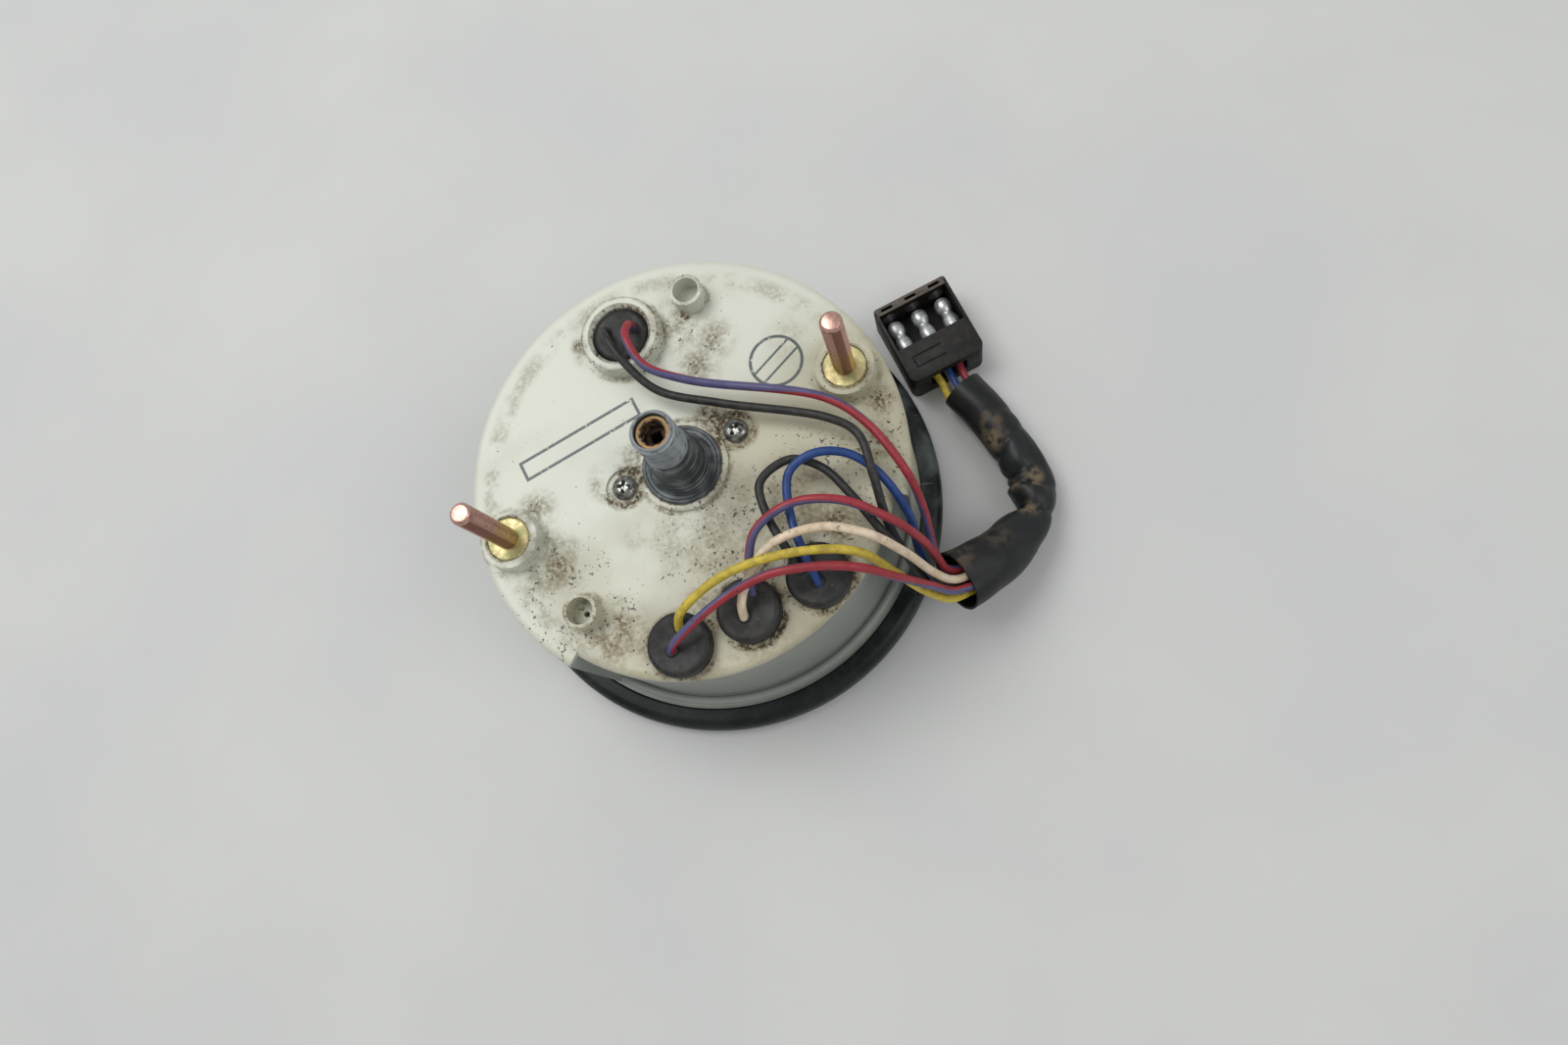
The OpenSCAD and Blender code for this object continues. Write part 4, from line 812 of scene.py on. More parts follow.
# several pieces as one, with the first one's name
def merged(pieces):
    whole = bmesh.new()
    for piece in pieces:
        whole.from_mesh(piece.data)
    first = pieces[0]
    whole.to_mesh(first.data)
    whole.free()
    for piece in pieces[1:]:
        bpy.data.objects.remove(piece)
    smoothFaces(first.data)
    return first


# a finish and a body for a piece; a second finish takes a stripe over half of a tube's faces
def dress(piece, finish, body="root", replaced=(), sides=0):
    piece.data.materials.clear()
    for name in [finish] if isinstance(finish, str) else finish:
        piece.data.materials.append(materials[name])
    if len(piece.data.materials) > 1:
        for face in piece.data.polygons:
            inStripe = face.index >= sides and face.index % sides < sides // 2
            face.material_index = 1 if inStripe else 0
    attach(piece, body)
    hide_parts(*replaced)
    return piece


# what all the wires share
wire = {
    "diameter": 0.0024,
    "cover": 0.985,
    "sides": 24,
    "step": 0.0006,
    "uneven": 0.012,
    "unevenOften": 300,
    "sharp": 70,
}
# each wire's real length, the turn of its stripe at its start and over its length in degrees, and its
# route through the same points as the solid; its finish and slot follow the colour in its name
wires = {
    "wire_top_black": {"length": 0.165, "points": [
        (-0.0035, 0.0458, 0.0550), (-0.0035, 0.0442, 0.0594), (-0.0031, 0.0396, 0.0628),
        (-0.0016, 0.0315, 0.0620), (0.0032, 0.0205, 0.0592), (0.0170, 0.0090, 0.0583),
        (0.0410, -0.0090, 0.0583), (0.0460, -0.0185, 0.0618), (0.0446, -0.0295, 0.0618),
        (0.0426, -0.0404, 0.0550), (0.0440, -0.0496, 0.0355), (0.0468, -0.0570, 0.0250),
        (0.0510, -0.0608, 0.0200), (0.0575, -0.0610, 0.0173)]},
    "wire_top_red": {"length": 0.152, "stripe": (155, -550), "points": [
        (0.0042, 0.0430, 0.0550), (0.0038, 0.0416, 0.0608), (0.0020, 0.0366, 0.0644),
        (0.0032, 0.0270, 0.0636), (0.0118, 0.0184, 0.0610), (0.0425, -0.0038, 0.0597),
        (0.0493, -0.0150, 0.0586), (0.0528, -0.0315, 0.0565), (0.0530, -0.0395, 0.0460),
        (0.0514, -0.0474, 0.0330), (0.0516, -0.0520, 0.0256), (0.0540, -0.0544, 0.0214),
        (0.0595, -0.0542, 0.0190)]},
    "wire_right_blue": {"length": 0.114, "points": [
        (0.0195, -0.0483, 0.0555), (0.0196, -0.0440, 0.0588), (0.0206, -0.0300, 0.0598),
        (0.0255, -0.0188, 0.0612), (0.0333, -0.0174, 0.0618), (0.0410, -0.0209, 0.0604),
        (0.0460, -0.0285, 0.0584), (0.0486, -0.0394, 0.0500), (0.0475, -0.0462, 0.0350),
        (0.0474, -0.0520, 0.0254), (0.0500, -0.0556, 0.0206), (0.0560, -0.0564, 0.0179)]},
    "wire_right_black": {"length": 0.115, "points": [
        (0.0168, -0.0432, 0.0555), (0.0164, -0.0390, 0.0590), (0.0154, -0.0260, 0.0604),
        (0.0175, -0.0172, 0.0600), (0.0270, -0.0148, 0.0587), (0.0337, -0.0205, 0.0578),
        (0.0374, -0.0310, 0.0572), (0.0406, -0.0439, 0.0538), (0.0466, -0.0524, 0.0370),
        (0.0498, -0.0566, 0.0274), (0.0530, -0.0584, 0.0230), (0.0585, -0.0582, 0.0206)]},
    "wire_middle_red": {"length": 0.102, "stripe": (300, 200), "points": [
        (0.0029, -0.0423, 0.0555), (0.0044, -0.0380, 0.0586), (0.0105, -0.0294, 0.0620),
        (0.0220, -0.0277, 0.0650), (0.0340, -0.0328, 0.0650), (0.0430, -0.0415, 0.0600),
        (0.0485, -0.0475, 0.0480), (0.0508, -0.0512, 0.0350), (0.0520, -0.0538, 0.0284),
        (0.0550, -0.0548, 0.0246), (0.0600, -0.0546, 0.0224)]},
    "wire_middle_white": {"length": 0.100, "points": [
        (-0.0020, -0.0475, 0.0555), (0.0, -0.0438, 0.0608), (0.0064, -0.0378, 0.0630),
        (0.0142, -0.0349, 0.0648), (0.0268, -0.0372, 0.0660), (0.0364, -0.0438, 0.0640),
        (0.0429, -0.0501, 0.0540), (0.0475, -0.0550, 0.0400), (0.0514, -0.0574, 0.0304),
        (0.0546, -0.0578, 0.0261), (0.0600, -0.0572, 0.0228)]},
    "wire_left_yellow": {"length": 0.111, "points": [
        (-0.0188, -0.0422, 0.0555), (-0.0158, -0.0393, 0.0605), (-0.0037, -0.0368, 0.0645),
        (0.0092, -0.0380, 0.0670), (0.0235, -0.0421, 0.0660), (0.0322, -0.0462, 0.0615),
        (0.0384, -0.0520, 0.0465), (0.0444, -0.0580, 0.0310), (0.0500, -0.0614, 0.0238),
        (0.0570, -0.0614, 0.0206)]},
    "wire_left_red": {"length": 0.108, "stripe": (230, -260), "points": [
        (-0.0233, -0.0463, 0.0555), (-0.0198, -0.0452, 0.0602), (-0.0047, -0.0420, 0.0643),
        (0.0091, -0.0420, 0.0660), (0.0212, -0.0456, 0.0656), (0.0301, -0.0497, 0.0624),
        (0.0376, -0.0542, 0.0532), (0.0454, -0.0578, 0.0385), (0.0510, -0.0604, 0.0284),
        (0.0572, -0.0610, 0.0243)]},
}


# soft tube along a line; turnAt gives the angle where its rings start
def tubeRings(line, radius, sides, turnAt):
    headings, along = carriedSides(line)
    rings = []
    for i, p in enumerate(line):
        across = headings[i].cross(along[i])
        start = turnAt(i / (len(line) - 1))
        ring = []
        for k in range(sides):
            angle = start + 2 * math.pi * k / sides
            uneven = 1 + wire["uneven"] * noise.noise(p * wire["unevenOften"] + Vector((angle, 0, 0)))
            ring.append(p + radius * uneven * (math.cos(angle) * along[i] + math.sin(angle) * across))
        rings.append(ring)
    return [[line[0]]] + rings + [[line[-1]]]


def makeTube(name, points, turnAt, finish, node):
    line, length = evenly(smoothRoute(points), wire["step"])
    rings = tubeRings(line, wire["diameter"] / 2 * wire["cover"], wire["sides"], turnAt)
    piece = joinRings(name, rings, sharp=wire["sharp"])
    print(name, "length", round(length, 4))
    return dress(piece, finish, replaced=[node], sides=wire["sides"]), line


def makeWire(name, w):
    first, whole = w.get("stripe", (0, 0))
    colour = name.split("_")[-1]
    finish = [colour + "Wire", "purpleStripe"] if "stripe" in w else colour + "Wire"
    piece, line = makeTube(name + "_lead", w["points"], lambda t: math.radians(first + whole * t),
                           finish, name)


for name, w in wires.items():
    makeWire(name, w)
print("wires made")


# depth of a thread below its crests, for the turned pieces
def threaded(low, high, pitch, depth):
    def shape(r, z, angle):
        if z < low or z > high:
            return r
        fade = min(1.0, (z - low) / pitch, (high - z) / pitch)
        phase = (z / pitch - angle / (2 * math.pi)) % 1.0
        return r - depth * fade * abs(2 * phase - 1)
    return shape


def heights(low, high, step):
    count = round((high - low) / step)
    return [low + (high - low) * k / count for k in range(count + 1)]


# solid through rings of equal count, one above the other, with flat ends
def capped(name, points, count):
    faces = [tuple(reversed(range(count))), tuple(range(len(points) - count, len(points)))]
    for start in range(0, len(points) - count, count):
        for k in range(count):
            m = (k + 1) % count
            faces.append((start + k, start + m, start + count + m, start + count + k))
    return makePiece(name, points, faces)


# block with a short and narrow foot, for cutting
def wedge(name, centre, low, high, foot, head, turn=0.0):
    points = []
    for z, (length, width) in ((low, foot), (high, head)):
        for sx, sy in ((-1, -1), (1, -1), (1, 1), (-1, 1)):
            corner = Vector((sx * length / 2, sy * width / 2, 0))
            corner.rotate(Matrix.Rotation(math.radians(turn), 3, "Z"))
            points.append((corner + Vector((centre[0], centre[1], z))) * mm)
    return capped(name, points, 4)


# a piece with others cut out of it
def carved(piece, cutters):
    for cutter in cutters:
        cut = piece.modifiers.new("cut", "BOOLEAN")
        cut.operation = "DIFFERENCE"
        cut.solver = "EXACT"
        cut.object = cutter
    graph = bpy.context.evaluated_depsgraph_get()
    mesh = bpy.data.meshes.new_from_object(piece.evaluated_get(graph))
    piece.modifiers.clear()
    for cutter in cutters:
        bpy.data.objects.remove(cutter)
    piece.data = mesh
    smoothFaces(mesh)
    return piece


# piece turned about Z laid along +Y from a place in millimetres
def laidAlongY(piece, place):
    turn = Matrix.Rotation(math.radians(-90), 4, "X")
    piece.data.transform(Matrix.Translation(Vector(place) * mm) @ turn)
    return piece


# connector: a rounded block with an open pocket, notches over the end holes and raised lines
connector = {
    "inset": 0.02,
    "corners": (1.0, 2.6),
    "edge": 0.4,
    "lineRise": 0.25,
    "lineEdge": 0.12,
    "lineCorners": (0.25, 0.25),
    "wall": 1.2,
    "floor": 3.0,
    "draft": (0.5, 0.4),
    "block": 12.0,
    "endWall": 3.0,
    "pitch": 8.2,
    "bulletHeight": 9.0,
    "hole": [(0, -0.5), (2.6, -0.5), (2.6, 4.5), (0, 4.5)],
    "notch": (3.9, 1.0, 3.2),
    "slot": (12.4, 10.0, 4.5, 11),
    "wornBand": 1.0,
    "lines": [(-3.6, 7.9, 9.5, 0.6), (-3.6, 4.2, 9.5, 0.6), (-8.6, 6.05, 0.6, 4.2)],
    "bullet": [
        (0, 0), (1.5, 0), (1.5, 2.4), (2.3, 2.8), (2.55, 4.2), (2.6, 5.4), (2.45, 6.6), (2.1, 7.6),
        (1.85, 8.2), (1.87, 8.6), (2.2, 9.2), (2.55, 10.1), (2.65, 11.0), (2.6, 12.0), (2.3, 13.0),
        (1.7, 13.7), (1.0, 13.95), (0, 14.0)],
    "bulletSlot": (2.6, 0.5),
    "bulletSlotFoot": 0.4,
    "bulletSlotHeight": 3.6,
    "bulletStart": 9.0,
    "leadPitch": 4.0,
    "leadHeight": 7.4,
    "leads": [(["yellowWire"], "wire_yellow"), (["blueWire", "whiteWire"], "wire_blue"),
              (["redWire", "purpleStripe"], "wire_red")],
}


def roundedRing(centre, halfX, halfY, corners, z):
    steps = 6
    ring = []
    for sx, sy, start in ((1, 1, 0), (-1, 1, 90), (-1, -1, 180), (1, -1, 270)):
        corner = corners[0] if sy > 0 else corners[1]
        for k in range(steps + 1):
            angle = math.radians(start + 90 * k / steps)
            x = centre[0] + sx * (halfX - corner) + corner * math.cos(angle)
            y = centre[1] + sy * (halfY - corner) + corner * math.sin(angle)
            ring.append(Vector((x, y, z)) * mm)
    return ring


# rounded block from rings that step in at both ends
def roundedBlock(name, centre, halfX, halfY, corners, low, high, edge):
    points = []
    for z, inset in ((low, edge), (low + edge * 0.3, edge * 0.3), (low + edge, 0), (high - edge, 0),
                     (high - edge * 0.3, edge * 0.3), (high, edge)):
        ring = roundedRing(centre, halfX - inset, halfY - inset, corners, z)
        points += ring
    return capped(name, points, len(ring))


def makeConnector(c):
    low, high = boxOf("connector_housing")
    centre = (low + high) / 2
    halfX, halfY = (high.x - low.x) / 2 - c["inset"], (high.y - low.y) / 2 - c["inset"]
    top = high.z - c["lineRise"]
    housing = roundedBlock("connector_block", centre, halfX, halfY, c["corners"], c["inset"], top, c["edge"])
    pocketLow = low.y + c["block"]
    pocketHigh = high.y - c["endWall"]
    pocketWidth = 2 * halfX - 2 * c["wall"]
    middle = (centre.x, (pocketLow + pocketHigh) / 2)
    foot = (pocketWidth, pocketHigh - pocketLow)
    head = (foot[0] + c["draft"][0], foot[1] + c["draft"][1])
    cutters = [wedge("pocket", middle, c["floor"], high.z + 2, foot, head)]
    places = [centre.x + c["pitch"] * k for k in (-1, 0, 1)]
    for x in places:
        hole = turned("hole", c["hole"], sides=32, loop=False)
        cutters.append(laidAlongY(hole, (x, pocketHigh, c["bulletHeight"])))
        width, across, depth = c["notch"]
        foot, head = (width * 0.9, across * 0.9), (width, across)
        cutters.append(wedge("notch", (x, pocketHigh + c["endWall"] / 2), top - depth, top + 1, foot, head))
    *slot, slotLow, slotHigh = c["slot"]
    cutters.append(wedge("slot", (centre.x, low.y + slot[1] / 2 - 1), slotLow, slotHigh, slot, slot))
    housing = carved(housing, cutters)
    dress(housing, "connectorPlastic", replaced=["connector_housing"])
    # the end wall's top is worn pale
    housing.data.materials.append(materials["wornPlastic"])
    for face in housing.data.polygons:
        onTop = face.normal.z > 0.3 and face.center.z > (top - c["wornBand"]) * mm
        if onTop and face.center.y > (pocketHigh - 0.1) * mm:
            face.material_index = 1
    made = [housing]
    for index, (x, y, length, width) in enumerate(c["lines"]):
        line = roundedBlock("connector_line_%d" % index, (centre.x + x, low.y + y), length / 2, width / 2,
                            c["lineCorners"], top - 0.3, high.z - 0.01, c["lineEdge"])
        made.append(dress(line, "connectorPlastic"))
    for index, x in enumerate(places):
        bullet = turned("bullet_%d" % (index + 1), c["bullet"], sides=40, loop=False)
        laidAlongY(bullet, (x, low.y + c["bulletStart"], c["bulletHeight"]))
        tip = (x, low.y + c["bulletStart"] + c["bullet"][-1][1] - 0.4)
        foot = c["bulletHeight"] + c["bulletSlotFoot"]
        size = c["bulletSlot"]
        carved(bullet, [wedge("slit", tip, foot, foot + c["bulletSlotHeight"], size, size)])
        made.append(dress(bullet, "tin", replaced=["connector_terminals"]))
    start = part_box("connector_wires")[0].y
    for index, (finish, slot) in enumerate(c["leads"]):
        x = (centre.x + (index - 1) * c["leadPitch"]) * mm
        z = c["leadHeight"] * mm
        route = [(x, start, z), (x, low.y * mm + 0.0015, z),
                 (places[index] * mm, (low.y + c["bulletStart"]) * mm, c["bulletHeight"] * mm)]
        name = "connector_lead_%d" % (index + 1)
        made.append(makeTube(name, route, lambda t: 2.0, finish, "connector_wires")[0])
    return made


connectorPieces = makeConnector(connector)
print("connector made")


# sleeve: a soft tube with an open, flattened mouth and creases at the inner side of its bend
sleeve = {
    "diameter": 0.014,
    "length": 0.084,
    "points": [
        (0.0519, -0.0576, 0.0240), (0.0610, -0.0566, 0.0202), (0.0705, -0.0543, 0.0155),
        (0.0790, -0.0497, 0.0110), (0.0853, -0.0432, 0.0082), (0.0880, -0.0365, 0.0071),
        (0.0885, -0.0289, 0.0071), (0.0880, -0.0199, 0.0071), (0.0865, -0.0109, 0.0071),
        (0.0840, -0.0015, 0.0071)],
    "sides": 72,
    "step": 0.0008,
    "wall": 0.0007,
    "cover": 0.95,
    "flat": 0.03,
    "mouthDepth": 0.014,
    "mouthTurn": 105,
    "mouthFlat": 0.21,
    "mouthFlare": 0.10,
    "mouthFade": 0.040,
    "mouthCut": 0.0028,
    "cutReach": 0.016,
    "cutTurn": 35,
    "endDepth": 0.006,
    # middle and reach of the crumpled stretch
    "crumpled": (0.046, 0.016),
    # depth of the unevenness, what the crumpled stretch adds to it, and its frequency round and along
    "uneven": (0.0003, 0.0005, 1.3, 120),
    # depth of the small folds of the crumpled stretch, and their frequency against the former's and along
    "folds": (0.0002, 2.3, 300),
    # place along the sleeve, depth, half width, direction, narrowness and slant of each crease
    "creases": [
        (0.0375, 0.0046, 0.0034, 285, 2.0, 0.0), (0.0365, 0.0014, 0.0013, 350, 0.8, 0.0016),
        (0.0455, 0.0016, 0.0013, 335, 0.7, -0.0010), (0.0505, 0.0020, 0.0022, 285, 2.0, 0.0),
        (0.0600, 0.0014, 0.0015, 310, 1.0, 0.0030), (0.0690, 0.0007, 0.0020, 40, 1.0, -0.0030),
        (0.0250, 0.0006, 0.0030, 20, 1.0, 0.0040), (0.0440, -0.0012, 0.0034, 275, 3.0, 0.0),
        (0.0450, -0.0013, 0.0030, 80, 3.0, 0.0)],
}


# radius of the sleeve at a distance along it and an angle round it
def sleeveRadius(s, at, angle):
    reach = s["diameter"] / 2 * s["cover"]
    nearMouth = max(0.0, 1 - at / s["mouthFade"])
    flat = s["mouthFlat"] * nearMouth + s["flat"]
    reach *= 1 + s["mouthFlare"] * nearMouth
    reach *= 1 + flat * math.cos(2 * (angle - math.radians(s["mouthTurn"])))
    for place, depth, width, towards, narrow, slant in s["creases"]:
        turn = angle - math.radians(towards)
        off = abs(at - place - slant * math.sin(turn)) / width
        reach -= depth * ((1 + math.cos(turn)) / 2) ** narrow * math.exp(-off)
    middle, spread = s["crumpled"]
    crumpled = math.exp(-((at - middle) / spread) ** 2)
    depth, more, often, along = s["uneven"]
    around = Vector((math.cos(angle), math.sin(angle), 0)) * often
    reach += (depth + more * crumpled) * noise.noise(around + Vector((0, 0, at * along)))
    depth, often, along = s["folds"]
    reach += depth * crumpled * noise.noise(around * often + Vector((5, 0, at * along)))
    return reach


def makeSleeve(s):
    line, length = evenly(smoothRoute(s["points"]), s["step"])
    headings, along = carriedSides(line)
    step = length / (len(line) - 1)

    # the mouth is cut at a slant: its upper side starts further in
    def ring(i, inset):
        across = headings[i].cross(along[i])
        fade = max(0.0, 1 - i * step / s["cutReach"])
        made = []
        for k in range(s["sides"]):
            angle = 2 * math.pi * k / s["sides"]
            reach = sleeveRadius(s, i * step, angle) - inset
            cut = s["mouthCut"] * fade * (1 + math.cos(angle - math.radians(s["cutTurn"]))) / 2
            out = math.cos(angle) * along[i] + math.sin(angle) * across
            made.append(line[i] + reach * out + cut * headings[i])
        return made

    last = len(line) - 1
    mouthRings = round(s["mouthDepth"] / step)
    endRings = round(s["endDepth"] / step)
    rings = [[line[mouthRings]]]
    rings += [ring(i, s["wall"]) for i in range(mouthRings, -1, -1)]
    rings += [ring(i, 0.0) for i in range(last + 1)]
    rings += [ring(i, s["wall"]) for i in range(last, last - endRings - 1, -1)]
    rings += [[line[last - endRings]]]
    piece = joinRings("sleeve_tube", rings, sharp=60)
    dress(piece, "sleevePlastic", replaced=["harness_sleeve"])
    print("sleeve length", round(length, 4))


makeSleeve(sleeve)
print("sleeve made")


# bezel: a rolled ring with a groove above its front lip and a rounded shoulder
bezelForm = {
    # distance in from the rim, and height
    "front": [(6.8, 0.01), (0.9, 0.01), (0.1, 0.7), (0.1, 2.3), (0.45, 2.5), (0.45, 2.9), (0, 3.2)],
    # distance in from the rim, and depth below the top
    "shoulder": [(0, 3.4), (0.35, 1.9), (1.2, 0.7), (2.6, 0.1)],
    # radius, and depth below the top
    "crimp": [(63.3, 0), (62.9, 0.35), (62.9, 0.8)],
    "sheet": 1.1,
    "corner": 0.5,
    "inset": 0.01,
    "sides": 240,
}


def makeBezel(b):
    low, high = boxOf("bezel")
    out = min(high.x, -low.x, high.y, -low.y) - b["inset"]
    top = high.z - b["inset"]
    inside = out - b["sheet"]
    profile = [(out - inward, z) for inward, z in b["front"]]
    profile += [(out - inward, top - down) for inward, down in b["shoulder"]]
    profile += [(r, top - down) for r, down in b["crimp"]]
    profile += [(inside, profile[-1][1]), (inside, b["sheet"]), (profile[0][0], b["sheet"])]
    ring = turned("bezel_ring", softened(profile, b["corner"]), sides=b["sides"], sharp=35)
    dress(ring, "bezelPaint", replaced=["bezel"])


# studs: threaded rods with a chamfered end, over knurled flanges
stud = {
    "place": 51.5,
    "radius": 2.99,
    "pitch": 1.0,
    "depth": 0.40,
    "shank": 2.80,
    "root": 2.58,
    "threadStart": 58.2,
    "chamfer": 0.8,
    "foot": 0.02,
    "inset": 0.01,
    "buried": 56.88,
    "flange": [(2.4, 55.62), (5.85, 55.62), (6.15, 55.87), (6.15, 56.83), (5.8, 57.13), (4.95, 57.18),
               (3.4, 57.18), (2.4, 57.13)],
    "knurl": 5.55,
    "teeth": 46,
    "toothDepth": 0.35,
}


def makeStud(name, side, s):
    low, high = boxOf("mount_studs")
    at = (s["place"] * side, (low.y + high.y) / 2)
    foot = low.z + s["foot"]
    top = high.z - s["inset"]
    end = top - s["chamfer"]
    profile = [(0, foot), (s["root"], foot), (s["root"], s["buried"]), (s["shank"], s["buried"]),
               (s["shank"], s["threadStart"] - 0.3)]
    profile += [(s["radius"], z) for z in heights(s["threadStart"], end, 0.1)]
    tip = s["radius"] - s["chamfer"]
    profile += [(tip + 0.08, top - 0.05), (tip - 0.1, top), (0, top)]
    shape = threaded(s["threadStart"] - 0.1, end + 0.3, s["pitch"], s["depth"])
    rod = turned(name, profile, at, sides=64, loop=False, shape=shape, sharp=55)
    dress(rod, "studPlate", replaced=["mount_studs"])

    def knurled(r, z, angle):
        if r < s["knurl"]:
            return r
        tooth = abs((angle * s["teeth"] / (2 * math.pi)) % 1.0 - 0.5) * 2
        worn = noise.noise(Vector((math.cos(angle) * 3, math.sin(angle) * 3, side)))
        return r - s["toothDepth"] * (tooth * (0.7 + 0.5 * worn) + 0.3 * max(0.0, worn))

    flange = turned(name + "_flange", s["flange"], at, sides=s["teeth"] * 6, shape=knurled)
    dress(flange, "goldPlate", replaced=["mount_studs"])


# cable socket: threaded tip, groove, stepped neck and a flange with a turned ring
socket = {
    "bore": 4.73,
    "inset": 0.02,
    "flange": 4.95,
    # distance in from the flange's rim, and depth below its top
    "rim": [(0, 0.35), (0.35, 0), (0.9, 0), (1.05, 0.18), (1.2, 0)],
    # radius, and height over the flange
    "neck": [(9.15, 0), (8.95, 0.35), (8.6, 0.6), (8.55, 1.5), (8.2, 1.75), (8.05, 2.9), (7.7, 3.1),
             (7.3, 5.4), (7.05, 5.6), (6.83, 7.0), (6.83, 9.0), (6.55, 9.15), (6.55, 9.6), (6.83, 9.8)],
    # radius and height
    "collar": [(6.83, 67.0), (6.3, 67.5), (5.25, 67.55), (5.2, 68.9)],
    "thread": 5.94,
    "threadLow": 69.1,
    "threadHigh": 81.2,
    "pitch": 1.0,
    "depth": 0.55,
    # radius, and depth below the top
    "mouth": [(5.3, 0.3), (5.08, 0.03), (4.95, 0), (4.73, 0.15)],
    "sides": 128,
}


def makeSocket(s):
    low, high = boxOf("cable_socket")
    out, top = high.x - s["inset"], high.z - 0.01
    foot = low.z + s["inset"]
    flange = foot + s["flange"]
    profile = [(s["bore"], foot), (out, foot)]
    profile += [(out - inward, flange - down) for inward, down in s["rim"]]
    profile += [(r, flange + up) for r, up in s["neck"]] + s["collar"]
    profile += [(s["thread"], z) for z in heights(s["threadLow"], s["threadHigh"], 0.1)]
    profile += [(5.35, 81.5)] + [(r, top - down) for r, down in s["mouth"]]
    shape = threaded(s["threadLow"] - 0.05, s["threadHigh"] + 0.1, s["pitch"], s["depth"])
    piece = turned("socket_casting", profile, sides=s["sides"], shape=shape)
    dress(piece, "zinc", replaced=["cable_socket"])


# screws: domed heads with a cross recess
screw = {
    "place": 17.3,
    "lift": 2.3,
    "inset": 0.02,
    "radius": 3.5,
    "shank": 1.93,
    "seat": 51.22,
    "dome": 1.75,
    "slot": (4.7, 1.25),
    "slotFoot": (1.8, 0.8),
    "slotDepth": 1.5,
    "turns": {-1: 62, 1: 35},
}


def makeScrew(name, side, s):
    low, high = boxOf("movement_screws")
    foot = low.z + s["inset"]
    top = high.z - s["inset"]
    rim = top - s["dome"]
    at = (s["place"] * side, s["lift"])
    profile = [(0, foot), (s["shank"], foot), (s["shank"], s["seat"]), (s["radius"] - 0.1, s["seat"]),
               (s["radius"], s["seat"] + 0.15)]
    for k in range(13):
        angle = math.radians(90 * k / 12)
        profile.append((s["radius"] * math.cos(angle) ** 0.8, rim + s["dome"] * math.sin(angle)))
    profile[-1] = (0, top)
    head = turned(name, profile, at, sides=64, loop=False)
    turn = s["turns"][side]
    cutters = [wedge("slot", at, top - s["slotDepth"], top + 0.3, s["slotFoot"], s["slot"], turn + k * 90)
               for k in (0, 1)]
    dress(carved(head, cutters), "chrome", replaced=["movement_screws"])


# rubbers of the lamp holders: dished tops with a lip round each wire
rubber = {
    "inset": 0.02,
    "seat": 52.02,
    "round": 1.2,
    "dish": 0.3,
    "shank": 5.88,
    "rim": 6.12,
    "rimHeight": 1.9,
    "bore": 3.93,
    "roof": 53.0,
    "corner": 0.3,
    "uneven": 0.22,
    "lipCorner": 0.15,
    "lipIn": 1.12,
    "lipOut": 2.05,
    "lipRise": 0.35,
}


def makeRubber(node, entering, s):
    low, high = boxOf(node)
    at = ((low.x + high.x) / 2, (low.y + high.y) / 2)
    r = (high.x - low.x) / 2 - s["inset"]
    top = high.z - s["lipRise"]
    foot = low.z + s["inset"]
    rim = foot + s["rimHeight"]
    seed = Vector((at[0], at[1], 3.0))
    profile = [(0, s["roof"]), (s["bore"], s["roof"]), (s["bore"], foot), (s["rim"], foot), (s["rim"], rim),
               (s["shank"], rim + 0.05), (s["shank"], s["seat"]), (r - 0.25, s["seat"]),
               (r, s["seat"] + 0.3), (r, top - s["round"]), (r - 0.25 * s["round"], top - 0.4 * s["round"]),
               (r - s["round"], top), (r - 1.8 * s["round"], top - 0.05), (r * 0.5, top - s["dish"]),
               (r * 0.2, top - s["dish"] - 0.05), (0, top - s["dish"] - 0.05)]

    def uneven(reach, z, angle):
        if reach < r - 0.6:
            return reach
        around = Vector((math.cos(angle) * 2, math.sin(angle) * 2, z))
        return reach - s["uneven"] * max(0.0, noise.noise(seed + around))

    soft = softened(profile, s["corner"], loop=False)
    pieces = [turned(node + "_rubber", soft, at, sides=72, loop=False, shape=uneven)]
    for name in entering:
        line = smoothRoute(wires[name]["points"])
        exitAt = next(p for p in line if p.z > top * mm) / mm
        lip = [(s["lipIn"], top - 0.8), (s["lipOut"], top - 0.8), (s["lipOut"] - 0.3, top + 0.1),
               (s["lipOut"] - 0.6, top + s["lipRise"] * 0.9), (s["lipIn"] + 0.05, top + s["lipRise"] * 0.7)]
        pieces.append(turned("lip", softened(lip, s["lipCorner"]), (exitAt.x, exitAt.y), sides=28))
    dress(merged(pieces), "rubber", replaced=[node])


makeBezel(bezelForm)
for side, hand in ((-1, "left"), (1, "right")):
    makeStud("stud_" + hand, side, stud)
    makeScrew("screw_" + hand, side, screw)
makeSocket(socket)
for place in ("top", "right", "middle", "left"):
    entering = [name for name in wires if name.startswith("wire_" + place)]
    makeRubber("lamp_socket_" + place, entering, rubber)
print("case fittings made")


# dial print: scale, numbers and small words, seen from the front with its right towards -X
dial = {
    "inkLift": 0.02,
    "first": -36.0,
    "sweep": 252.0,
    "top": 180,
    "outer": 53.2,
    "longInner": 47.5,
    "shortInner": 50.2,
    "longWidth": 0.9,
    "shortWidth": 0.45,
    "numberRadius": 41.0,
    "numberSize": 6.6,
    "everyLine": 5,
    "everyNumber": 20,
    "words": [("km/h", 0.0, 17.0, 5.2), ("km", 24.6, -24.0, 3.4)],
}


# direction of a speed on the dial, as an angle about +Z
def speedAngle(d, value):
    return math.radians(d["first"] + d["sweep"] * value / d["top"])


